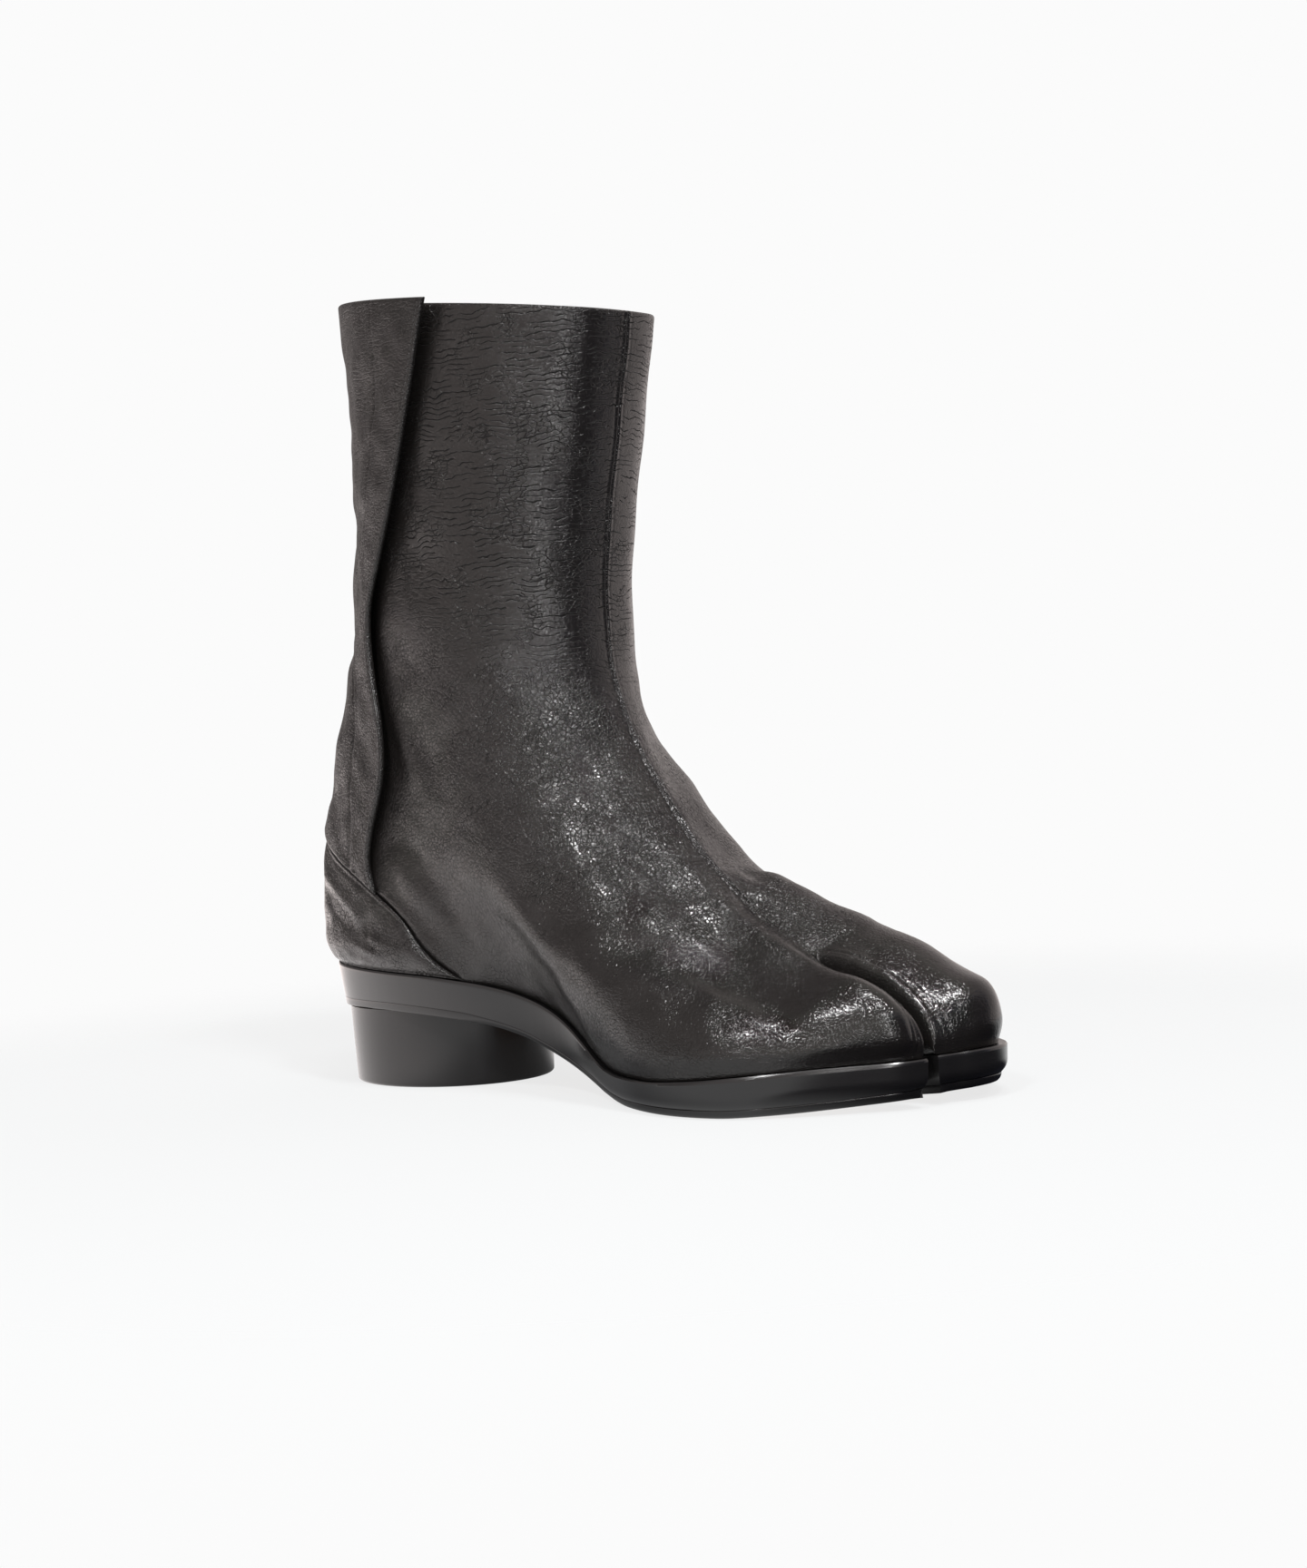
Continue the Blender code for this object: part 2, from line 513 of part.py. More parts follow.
def make_patch(name, u, v, inside, thickness, lift=None):
    """Closed sheet over a grid of u and v: its inner side lies off the upper by the distance given."""
    point, normal = surface_with_normals(u.ravel(), v.ravel())
    inside = np.broadcast_to(inside, u.shape).ravel()[:, None]
    lift = np.zeros(u.size) if lift is None else lift.ravel()
    bm = bmesh.new()
    layers = []
    for distance in (inside, inside + thickness):
        moved = point + normal * distance
        moved[:, 2] += lift
        verts = [bm.verts.new(p * MM) for p in moved]
        layers.append([verts[i * u.shape[1]:(i + 1) * u.shape[1]] for i in range(u.shape[0])])
    rows, columns = u.shape
    for layer in layers:
        for i in range(rows - 1):
            for j in range(columns - 1):
                bm.faces.new((layer[i][j], layer[i][j + 1], layer[i + 1][j + 1], layer[i + 1][j]))
    low, high = layers
    border = [(0, j) for j in range(columns)] + [(i, columns - 1) for i in range(1, rows)]
    border += [(rows - 1, j) for j in range(columns - 2, -1, -1)] + [(i, 0) for i in range(rows - 2, 0, -1)]
    for (i, j), (k, m) in zip(border, border[1:] + border[:1]):
        bm.faces.new((low[i][j], low[k][m], high[k][m], high[i][j]))
    make_object(name, bm, "glazed calf")


def make_counter():
    edge = np.array(COUNTER_EDGE)
    steps = np.diff(edge, axis=0) * (GIRTH, RING_HEIGHT)
    length = np.concatenate([[0], np.cumsum(np.hypot(*steps.T))])
    half = np.linspace(0, length[-1], COUNTER_COLUMNS // 2 + 1)
    distance, top = np.interp(half, length, edge[:, 0]), np.interp(half, length, edge[:, 1])
    distance = np.concatenate([-distance[:0:-1], distance])
    top = np.concatenate([top[:0:-1], top])
    share = np.linspace(0, 1, COUNTER_STEPS + 1)[:, None]
    foot = distance * COUNTER_SPREAD
    u = 0.5 + foot + (distance - foot) * share
    v = COUNTER_FOOT + (top - COUNTER_FOOT) * share
    make_patch("heel_counter", u, v, PATCH_FIT, COUNTER_THICKNESS)


def make_flap():
    edge = np.array(FLAP_EDGE)
    share_up = np.linspace(0, 1, FLAP_ROWS + 1)[:, None]
    share_round = np.linspace(0, 1, FLAP_COLUMNS + 1)[None, :]
    nominal = edge[0, 0] + (TOP_RING - edge[0, 0]) * share_up
    free, off = through_points(edge[:, 0], edge[:, 1:], nominal[:, 0]).T[:, :, None]
    u = free + (FLAP_SEAM_U - free) * share_round
    counter_distance, counter_top = np.array(COUNTER_EDGE).T
    bottom = np.interp(abs(u[:1] - 0.5), counter_distance, counter_top) + FLAP_CLEARANCE
    v = bottom + (TOP_RING - bottom) * share_up
    inside = PATCH_FIT + np.maximum(off - PATCH_FIT, 0) * (1 - share_round)**2
    lift = FLAP_TOP_RISE * blend(0.93, 1.0, share_up) * (1 - 0.6 * share_round)
    make_patch("closure_flap", u, v, inside, FLAP_THICKNESS, np.broadcast_to(lift, u.shape))


make_upper()
make_sole()
make_heel()
make_counter()
make_flap()
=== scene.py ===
# %% [markdown]
# # A split-toe ankle boot in black leather
# This lesson dresses a left boot whose solids are already packed at their real size. The solids give the
# last, the sole and the heel. What they lack is leather: seams, folds, rolled edges, grain and gloss. Each
# visible piece is therefore made again as a finer surface from the same tables, so that it lies where its
# solid lies, and then gets its own material.

import bmesh
import bpy
import numpy as np
from mathutils import Matrix


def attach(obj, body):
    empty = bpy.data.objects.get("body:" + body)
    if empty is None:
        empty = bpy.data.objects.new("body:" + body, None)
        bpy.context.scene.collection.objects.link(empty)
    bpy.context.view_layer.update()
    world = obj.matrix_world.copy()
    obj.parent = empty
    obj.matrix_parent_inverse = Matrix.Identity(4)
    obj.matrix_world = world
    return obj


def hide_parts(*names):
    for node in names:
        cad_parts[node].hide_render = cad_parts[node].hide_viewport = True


MM = 0.001
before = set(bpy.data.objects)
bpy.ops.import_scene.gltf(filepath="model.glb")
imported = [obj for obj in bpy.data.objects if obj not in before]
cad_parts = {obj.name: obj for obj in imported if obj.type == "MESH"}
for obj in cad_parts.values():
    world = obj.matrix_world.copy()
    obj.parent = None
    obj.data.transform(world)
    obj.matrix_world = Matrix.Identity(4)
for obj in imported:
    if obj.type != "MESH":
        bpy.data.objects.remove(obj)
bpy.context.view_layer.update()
print("solids:", ", ".join(sorted(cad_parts)))

# %% [markdown]
# ## Curves through short tables
# A shoemaker describes a last by sections. The same can be done with a short table that has one row for
# each section, and a smooth curve through the rows. Three small functions do most of it: one blends between
# the rows of a table, one runs a curve through points at unequal distances, and one reads a height from a
# profile without overshooting it. All take whole arrays, so a surface of 80,000 points needs no loop over
# its points.

# %% Curves through rows, through points and along a profile
def through_rows(table, v):
    """Row i stands at v = i; between rows, a cubic Hermite with half the neighbours' difference as slope."""
    rows = np.asarray(table, float)
    last = len(rows) - 1
    v = np.clip(np.asarray(v, float), 0, last)
    i = np.minimum(v.astype(int), last - 1)
    s = (v - i)[:, None]
    low, high = rows[i], rows[i + 1]
    slope_low = np.where((i > 0)[:, None], (high - rows[np.maximum(i - 1, 0)]) / 2, high - low)
    slope_high = np.where((i < last - 1)[:, None], (rows[np.minimum(i + 2, last)] - low) / 2, high - low)
    return ((1 + 2*s) * (1 - s)**2 * low + s * (1 - s)**2 * slope_low
            + s*s * (3 - 2*s) * high + s*s * (s - 1) * slope_high)


def through_points(knots, points, u):
    """Natural cubic spline: slopes solve the system in which bending is continuous and both ends are free."""
    n = len(knots)
    h = np.diff(knots)
    matrix = np.zeros((n, n))
    right = np.zeros((n, points.shape[1]))
    matrix[0, :2], right[0] = (2, 1), 3 * (points[1] - points[0]) / h[0]
    matrix[-1, -2:], right[-1] = (1, 2), 3 * (points[-1] - points[-2]) / h[-1]
    for i in range(1, n - 1):
        matrix[i, i - 1:i + 2] = 1 / h[i - 1], 2 / h[i - 1] + 2 / h[i], 1 / h[i]
        right[i] = 3 * (points[i] - points[i - 1]) / h[i - 1]**2 + 3 * (points[i + 1] - points[i]) / h[i]**2
    slopes = np.linalg.solve(matrix, right)
    i = np.clip(np.searchsorted(knots, u, side="right") - 1, 0, n - 2)
    s = ((u - knots[i]) / h[i])[:, None]
    step = h[i][:, None]
    return ((1 + 2*s) * (1 - s)**2 * points[i] + s * (1 - s)**2 * step * slopes[i]
            + s*s * (3 - 2*s) * points[i + 1] + s*s * (s - 1) * step * slopes[i + 1])


def height_on(profile, x):
    """Cubic through the profile whose slopes are harmonic means, so that it never overshoots the table."""
    xs, zs = np.array(profile, float).T
    x = np.clip(np.asarray(x, float), xs[0], xs[-1])
    h = np.diff(xs)
    grade = np.diff(zs) / h
    before, after = grade[:-1], grade[1:]
    same_way = before * after > 0
    mean = np.where(same_way, 2 * before * after / np.where(same_way, before + after, 1), 0)
    slope = np.concatenate([[grade[0]], mean, [grade[-1]]])
    i = np.clip(np.searchsorted(xs, x, side="right") - 1, 0, len(h) - 1)
    s = (x - xs[i]) / h[i]
    return ((1 + 2*s) * (1 - s)**2 * zs[i] + s * (1 - s)**2 * h[i] * slope[i]
            + s*s * (3 - 2*s) * zs[i + 1] + s*s * (s - 1) * h[i] * slope[i + 1])


def smooth(low, high, x):
    """0 below low, 1 above high, and 3 s^2 - 2 s^3 between them."""
    s = np.clip((np.asarray(x, float) - low) / (high - low), 0, 1)
    return s * s * (3 - 2*s)


def length_along(line):
    """Length from the first point of a line to each of its points."""
    return np.concatenate([[0], np.cumsum(np.linalg.norm(np.diff(line, axis=0), axis=1))])


print("a profile through (0, 0), (1, 1), (2, 1) at 0.5:", height_on([(0, 0), (1, 1), (2, 1)], 0.5))

# %% [markdown]
# ## The last
# The boot stands with its toe to +X and its outer side to +Y, in millimetres, with the middle of the heel's
# bottom face at the origin. One parameter, u, runs round the foot: from the front seam along the inner side
# to the heel at one half, and back along the outer side. The other, v, climbs from the feather line, where
# upper meets sole, to the collar, one unit for each ring of the tables.

# %% The tables of the last
SOLE_TOP = [  # x, z
    (-48, 41.2), (-15, 39.8), (20, 38.2), (40, 35.8), (52, 33.3), (62, 30.0), (70, 26.3), (77, 22.2),
    (84, 17.8), (92, 13.4), (100, 11.0), (110, 10.2), (125, 10.2), (143, 11.2), (162, 12.8), (180, 14.1),
    (200, 14.8), (214, 16.0),
]
SOLE_BOTTOM = [  # x, z
    (-48, 25.6), (0, 26.0), (15, 25.4), (34, 23.6), (45, 21.2), (57, 17.4), (64, 14.2), (73, 10.0),
    (80, 6.9), (87, 4.2), (95, 1.8), (104, 0.4), (112, 0.0), (152, 0.0), (166, 0.6), (180, 1.5),
    (195, 2.8), (214, 4.8),
]
RING_ENDS = [  # x_back, z_back, x_front, z_front, y_front, share of the sole's curve that the ring follows
    (-41.0,  41.0, 201.0,  14.8, -6.0, 1.00),
    (-44.0,  49.0, 200.5,  21.0, -6.0, 0.97),
    (-44.5,  59.0, 195.0,  28.0, -6.0, 0.85),
    (-44.0,  70.0, 184.0,  33.5, -6.0, 0.62),
    (-42.5,  82.0, 168.0,  39.0, -6.0, 0.40),
    (-38.5,  94.0, 153.0,  47.0, -5.5, 0.22),
    (-34.0, 107.0, 137.5,  57.0, -4.0, 0.10),
    (-29.0, 121.0, 121.5,  70.5, -2.5, 0.0),
    (-24.5, 136.0, 106.0,  88.0, -1.5, 0.0),
    (-20.5, 150.0,  94.0, 106.0, -1.0, 0.0),
    (-16.5, 166.0,  85.0, 127.0, -0.5, 0.0),
    (-12.5, 182.0,  81.5, 150.0,  0.0, 0.0),
    (-10.5, 204.0,  84.5, 178.0,  0.0, 0.0),
    (-11.5, 229.0,  91.0, 209.0,  0.0, 0.0),
    (-14.0, 259.0,  98.5, 243.5,  0.0, 0.0),
]
STATIONS = [0.035, 0.12, 0.29, 0.48, 0.68, 0.84, 0.95]  # rear, heel, seat, waist, ball, fore, toe
STATION_RISE = [0, 0, 0, 0, 0, 0.15, 0.6]
INNER_WIDTHS = [  # at the seven stations, from the middle line
    (18.5, 29.5, 32.5, 23.5, 45.0, 43.5, 23.5),
    (19.5, 31.5, 34.5, 28.0, 47.0, 44.5, 25.5),
    (19.5, 31.5, 35.0, 32.5, 46.5, 42.5, 25.5),
    (19.0, 31.0, 35.0, 35.0, 44.0, 38.0, 22.5),
    (18.5, 30.0, 35.0, 36.5, 40.5, 33.0, 19.5),
    (17.5, 29.0, 34.5, 37.5, 37.5, 29.0, 16.5),
    (16.5, 27.5, 34.0, 37.5, 36.0, 27.0, 14.5),
    (15.5, 26.0, 33.5, 37.0, 35.0, 26.0, 13.5),
    (14.5, 25.0, 33.0, 36.5, 34.0, 25.5, 13.0),
    (14.0, 24.0, 33.0, 36.5, 34.0, 25.5, 13.0),
    (14.0, 24.0, 33.5, 37.0, 34.5, 26.5, 14.5),
]
OUTER_WIDTHS = [  # the same stations on the outer side
    (18.5, 29.5, 32.5, 31.0, 44.5, 47.0, 39.0),
    (19.5, 31.5, 34.5, 34.0, 46.5, 48.5, 40.0),
    (19.5, 31.5, 35.0, 37.0, 46.5, 47.5, 37.0),
    (19.0, 31.0, 35.5, 38.5, 45.0, 45.0, 32.0),
    (18.5, 30.0, 35.5, 39.0, 43.0, 41.0, 30.0),
    (17.5, 29.0, 35.0, 39.5, 41.0, 37.0, 25.5),
    (16.5, 27.5, 34.5, 39.5, 39.0, 34.0, 21.0),
    (15.5, 26.0, 34.0, 38.5, 37.5, 31.5, 17.0),
    (14.5, 25.0, 33.5, 37.0, 36.5, 30.0, 17.5),
    (14.0, 24.0, 33.0, 36.5, 34.5, 25.0, 11.5),
    (14.0, 24.0, 33.5, 37.0, 34.5, 26.5, 14.0),
]
LOBES = [  # crown of each toe lobe: inner x, y, rise above the slit, outer x, y, rise
    (197.8, -15.5, 0.0,   207.5, 16.0, 0.0),
    (198.8, -16.5, 0.4,   209.5, 16.0, 1.5),
    (195.8, -16.0, 1.6,   206.0, 16.0, 5.5),
    (185.5, -15.5, 2.8,   192.5, 15.0, 6.8),
    (169.5, -14.0, 3.0,   176.5, 13.5, 9.8),
    (152.5, -12.0, 2.2,   157.0, 10.5, 8.8),
    (136.0,  -9.5, 1.0,   139.0,  8.0, 7.0),
    (119.5,  -8.0, 0.0,   120.5,  5.0, -1.5),
    (104.5,  -6.5, 0.0,   105.0,  5.0, 0.5),
    (92.8,   -6.0, 0.0,    93.0,  4.0, 0.0),
    (84.0,   -6.5, 0.0,    84.0,  5.5, 0.0),
]
SHAFT_WIDTHS = [36.5, 37.0, 38.0, 39.0]     # half-widths of the rings above, which are plain ovals
OVAL = 2.15                                 # 2 is an ellipse, more is squarer
CROWN_STATION = 0.988
SETTLE_RINGS = 3.0
SLIT_GAP, SLIT_RING, SLIT_TAPER = 8.0, 4.5, 2.0
OUTER_RIM_RISE = [0.0, 0.4, 1.8, 4.6, 6.0, 5.0]     # how far the slit's outer rim stands above the inner one
RIM_RISE_ONSET = 1.6
NOTCH_END_X, NOTCH_ROUND = 166.0, 7.0
Y_SLIT = RING_ENDS[0][4]
print(len(RING_ENDS), "rings, the highest", RING_ENDS[-1][1], "mm above the floor")


# %% The last as a surface of u and v
def ring_controls():
    """Each ring lies on the line from its back to its front, sunk by its share of the sole's own curve."""
    rings = []
    for k, (x_back, z_back, x_front, z_front, y_front, follow) in enumerate(RING_ENDS):
        def height(x):
            share = (x - x_back) / (x_front - x_back)
            sole_back, sole_front = height_on(SOLE_TOP, x_back), height_on(SOLE_TOP, x_front)
            sag = height_on(SOLE_TOP, x) - (sole_back + (sole_front - sole_back) * share)
            return z_back + (z_front - z_back) * share + follow * sag

        if k < len(LOBES):
            x_in, y_in, rise_in, x_out, y_out, rise_out = LOBES[k]
            xs = [x_back + (x_front - x_back) * s for s in STATIONS]
            inner = [(x, -w, height(x) + rise_in * r) for x, w, r in zip(xs, INNER_WIDTHS[k], STATION_RISE)]
            outer = [(x, w, height(x) + rise_out * r) for x, w, r in zip(xs, OUTER_WIDTHS[k], STATION_RISE)]
            inner.append((x_in, y_in, height(x_in) + rise_in))
            outer.append((x_out, y_out, height(x_out) + rise_out))
        else:
            half_width = SHAFT_WIDTHS[k - len(LOBES)]
            inner, outer = [], []
            for s in STATIONS + [CROWN_STATION]:
                x = x_back + (x_front - x_back) * s
                w = half_width * (1 - abs(2*s - 1)**OVAL)**(1 / OVAL)
                inner.append((x, y_front * s - w, height(x)))
                outer.append((x, y_front * s + w, height(x)))
        front = (x_front, y_front, z_front)
        rings.append([front] + inner[::-1] + [(x_back, 0, z_back)] + outer + [front])
    return np.array(rings, float)


def station_knots(controls):
    """Knots in u are lengths round the third ring, with the heel at one half."""
    inner = controls[2][:len(controls[2]) // 2 + 1]
    length = length_along(inner)
    half = length / length[-1] / 2
    return np.concatenate([half, 1 - half[:-1][::-1]])


def last_grid(u, v):
    """Rings blended at each v, opened by the slit, then a spline round each; row 0 lies on the sole's top."""
    v = np.append(0, np.asarray(v, float))
    rings = through_rows(CONTROLS.reshape(len(CONTROLS), -1), v).reshape(len(v), -1, 3)
    opening = np.sqrt(np.clip((SLIT_RING - v) / SLIT_TAPER, 0, 1))
    rings[:, 0, 1] -= opening * SLIT_GAP / 2
    rings[:, -1, 1] += opening * SLIT_GAP / 2
    rise = np.interp(v, range(len(OUTER_RIM_RISE)), OUTER_RIM_RISE)
    rings[:, -1, 2] += rise * np.minimum(1, RIM_RISE_ONSET * opening)
    across = rings.transpose(1, 0, 2).reshape(rings.shape[1], -1)
    grid = through_points(KNOTS, across, np.asarray(u, float)).reshape(len(u), len(v), 3).transpose(1, 0, 2)
    gap = height_on(SOLE_TOP, grid[0, :, 0]) - grid[0, :, 2]
    grid[:, :, 2] += gap * np.clip(1 - v / SETTLE_RINGS, 0, 1)[:, None]**2
    return grid[1:]


CONTROLS = ring_controls()
KNOTS = station_knots(CONTROLS)
TOP_RING = len(CONTROLS) - 1

FINE_U, FINE_V = np.linspace(0, 1, 961), np.linspace(0, TOP_RING, 701)
last_points = last_grid(FINE_U, FINE_V)
last_normals = np.cross(np.gradient(last_points, axis=0), np.gradient(last_points, axis=1))
last_normals /= np.linalg.norm(last_normals, axis=2, keepdims=True)
last_reach = last_points.min((0, 1)).round(1), last_points.max((0, 1)).round(1)
print("last:", *last_reach, "mm")


# %% Reading the last at any place
def read_grid(grid, u, v):
    """Value at (u, v): the four nearest grid points, weighted by nearness along u and along v."""
    a = np.clip(np.asarray(u, float), 0, 1) * (len(FINE_U) - 1)
    b = np.clip(np.asarray(v, float), 0, TOP_RING) / TOP_RING * (len(FINE_V) - 1)
    j, i = np.minimum(a.astype(int), len(FINE_U) - 2), np.minimum(b.astype(int), len(FINE_V) - 2)
    s, t = (a - j)[..., None], (b - i)[..., None]
    return ((1 - t) * ((1 - s) * grid[i, j] + s * grid[i, j + 1])
            + t * ((1 - s) * grid[i + 1, j] + s * grid[i + 1, j + 1]))


def on_last(u, v, out=0.0):
    """Point on the last at (u, v), moved out along its normal by a distance in millimetres."""
    normal = read_grid(last_normals, u, v)
    normal /= np.linalg.norm(normal, axis=-1, keepdims=True)
    return read_grid(last_points, u, v) + normal * np.asarray(out, float)[..., None]


print("collar at the front seam:", on_last(0.0, TOP_RING).round(1))

# %% [markdown]
# ## From arrays to pieces
# A grid of points becomes a mesh when each small square of four neighbours is made a face. The order of the
# four decides which way the face looks, so one function does it for every piece. Another gathers points,
# faces and per-point numbers into an object, shades it smooth and lets it ride on the boot.

# %% Grids into meshes
def grid_faces(index):
    """One face for each cell of an index grid, which looks along (down the rows) x (along the columns)."""
    return np.stack([index[:-1, :-1], index[1:, :-1], index[1:, 1:], index[:-1, 1:]], -1).reshape(-1, 4)


def without_repeats(faces):
    """Cells that shrink to a triangle at a pole lose their doubled corner; those with less than three go."""
    faces = np.asarray(faces)
    ordered = np.sort(faces, axis=1)
    whole = (np.diff(ordered, axis=1) > 0).all(1)
    rest = [list(dict.fromkeys(face)) for face in faces[~whole].tolist()]
    return faces[whole].tolist() + [face for face in rest if len(face) > 2]


def used_only(points, faces):
    """The points that the faces use, the faces renumbered to match, and which points those are."""
    used = np.unique(faces)
    renumber = np.zeros(len(points), int)
    renumber[used] = np.arange(len(used))
    return points[used], renumber[faces], used


def add_piece(name, points, faces, material, marks=None, sharp_angle=None):
    """Mesh object from points in millimetres; marks are named numbers, one for each point."""
    mesh = bpy.data.meshes.new(name)
    mesh.from_pydata((np.asarray(points) * MM).tolist(), [], without_repeats(faces))
    mesh.shade_smooth()
    if sharp_angle is not None:
        mesh.set_sharp_from_angle(angle=np.radians(sharp_angle))
    for mark, values in (marks or {}).items():
        layer = mesh.attributes.new(mark, "FLOAT", "POINT")
        layer.data.foreach_set("value", np.ascontiguousarray(values, dtype=np.float32).ravel())
    mesh.materials.append(material)
    piece = bpy.data.objects.new(name, mesh)
    bpy.context.scene.collection.objects.link(piece)
    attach(piece, "root")
    triangles = sum(len(face.vertices) - 2 for face in mesh.polygons)
    print(f"{name}: {len(mesh.vertices)} points, {triangles} triangles")
    return piece


# %% [markdown]
# ## Shader maths as plain expressions
# A material is a net of small nodes. Sums and products read far better as an expression, so a small class
# wraps a node's socket and adds a Math node for each operator. Every other node is added by one method,
# which sets the node's own settings first and then its sockets.

# %% A socket that can be added and multiplied
class Value:
    """A number or vector inside a material. Arithmetic on it adds Math nodes."""

    def __init__(self, graph, socket):
        self.graph = graph
        self.socket = socket

    def maths(self, operation, *terms):
        inputs = dict(enumerate(terms))
        return self.graph.node("ShaderNodeMath", {"operation": operation}, inputs)

    def __add__(self, other):
        return self.maths("ADD", self, other)

    def __sub__(self, other):
        return self.maths("SUBTRACT", self, other)

    def __mul__(self, other):
        return self.maths("MULTIPLY", self, other)

    def __truediv__(self, other):
        return self.maths("DIVIDE", self, other)

    def __rsub__(self, other):
        return self.maths("SUBTRACT", other, self)

    __radd__ = __add__
    __rmul__ = __mul__

    def most(self, other):
        return self.maths("MAXIMUM", self, other)


class Graph:
    """The node tree of a new material or of the world."""

    def __init__(self, tree):
        self.tree = tree
        self.tree.nodes.clear()

    def node(self, kind, settings=None, inputs=None, output=0):
        """Adds a node: first its settings, then its sockets, each a number, a colour or another Value."""
        node = self.tree.nodes.new(kind)
        for key, value in (settings or {}).items():
            setattr(node, key, value)
        for key, value in (inputs or {}).items():
            if isinstance(value, Value):
                self.tree.links.new(value.socket, node.inputs[key])
            else:
                node.inputs[key].default_value = value
        return Value(self, node.outputs[output]) if node.outputs else None

    def parts(self, vector):
        """The x, y and z of a vector."""
        apart = self.tree.nodes.new("ShaderNodeSeparateXYZ")
        self.tree.links.new(vector.socket, apart.inputs[0])
        return [Value(self, socket) for socket in apart.outputs]

    def ramp(self, value, low, high):
        """0 at low, 1 at high, smooth between them."""
        return self.node("ShaderNodeMapRange", {"interpolation_type": "SMOOTHSTEP"},
                         {"Value": value, "From Min": low, "From Max": high})

    def noise(self, place, size, detail=2.0, roughness=0.5):
        """Cloudy noise from 0 to 1 whose features are about size millimetres."""
        return self.node("ShaderNodeTexNoise", {}, {
            "Vector": place, "Scale": 1 / (size * MM), "Detail": detail, "Roughness": roughness})

    def cells(self, place, size, feature="F1", output="Distance"):
        """Cell pattern of about size millimetres: distance to each cell's middle, or to its edge."""
        return self.node("ShaderNodeTexVoronoi", {"feature": feature}, {
            "Vector": place, "Scale": 1 / (size * MM)}, output)

    def relief(self, height):
        """The surface's direction, bent by a height in metres."""
        return self.node("ShaderNodeBump", {}, {"Height": height, "Distance": 1.0, "Strength": 1.0})


def new_material(name):
    material = bpy.data.materials.new(name)
    material.use_nodes = True
    return material, Graph(material.node_tree)


# %% [markdown]
# ## The leather
# The boot is cut from black calf that has been shrunk and glazed: it keeps fine cracks and small pebbles,
# and it shines only where a lamp meets it. Close to black, nearly all that the eye sees is reflection, so
# the relief and the gloss matter more than the colour. The relief has four parts: long level cracks on the
# shaft, pebbles at the ankle, fine pores everywhere and a slow unevenness. Numbers stored in each point say
# how much of each a place has.

# %% Black leather
LEATHER_BLACK = (0.0095, 0.0085, 0.0080, 1.0)
CRACK_BLACK = (0.0030, 0.0027, 0.0026, 1.0)
CRACK_SPACING = 1.7                         # mm, between the level cracks of the shaft
CRACK_WANDER = [(2.6, 13, 1.0), (1.3, 4, 1.5)]      # spacings that a crack strays, over how many mm, detail
CRACK_HALF_WIDTH = 0.17                     # of the spacing
NET = 2.4                                   # mm, the mesh of the finer net of cracks
PEBBLE, SMALL_PEBBLE = 1.5, 1.0             # mm, at the ankle
STIR, STIR_SIZE = 1.2, 3.2                  # mm, how far the cells are pushed about, in patches of this size
PORE, PORE_DEPTH = 0.42, 0.008              # mm
HILL, HILL_HEIGHT = 6.0, 0.15               # mm


def level_cracks(graph, here, stirred):
    """Lines of equal height, unevenly spaced and broken off by a flat noise, and a finer net between."""
    turns = graph.parts(stirred)[2] / (CRACK_SPACING * MM)
    for share, patch, detail in CRACK_WANDER:
        turns = turns + share * graph.noise(here, patch, detail)
    beside = turns.maths("PINGPONG", turns, 0.5)
    flat = graph.node("ShaderNodeMapping", {}, {"Vector": stirred, "Scale": (1, 1, 3.5)})
    kept = graph.ramp(graph.noise(flat, 9, 2.0), 0.40, 0.54)
    level = (1 - graph.ramp(beside, 0.02, CRACK_HALF_WIDTH)) * kept
    flatter = graph.node("ShaderNodeMapping", {}, {"Vector": stirred, "Scale": (1, 1, 1.8)})
    net = 1 - graph.ramp(graph.cells(flatter, NET, "DISTANCE_TO_EDGE"), 0.0, 0.10)
    net = net * (0.20 + 0.55 * graph.ramp(graph.noise(here, 12, 1.5), 0.45, 0.62))
    return level.most(net)


def pebbled(graph, here, stirred, pebble):
    """Flat tops between the narrow joints of two sizes of cells, and the dark joints of the larger ones."""
    edge = graph.cells(stirred, PEBBLE, "DISTANCE_TO_EDGE")
    small_edge = graph.cells(here, SMALL_PEBBLE, "DISTANCE_TO_EDGE")
    tops = (graph.ramp(edge, 0.0, 0.16) * 0.65 * pebble
            + graph.ramp(small_edge, 0.0, 0.18) * (0.16 + 0.16 * pebble))
    broken = 0.35 + 0.65 * graph.ramp(graph.noise(here, 8, 2.0), 0.40, 0.60)
    joints = (1 - graph.ramp(edge, 0.0, 0.09)) * graph.ramp(pebble, 0.10, 0.60) * broken
    return tops, joints


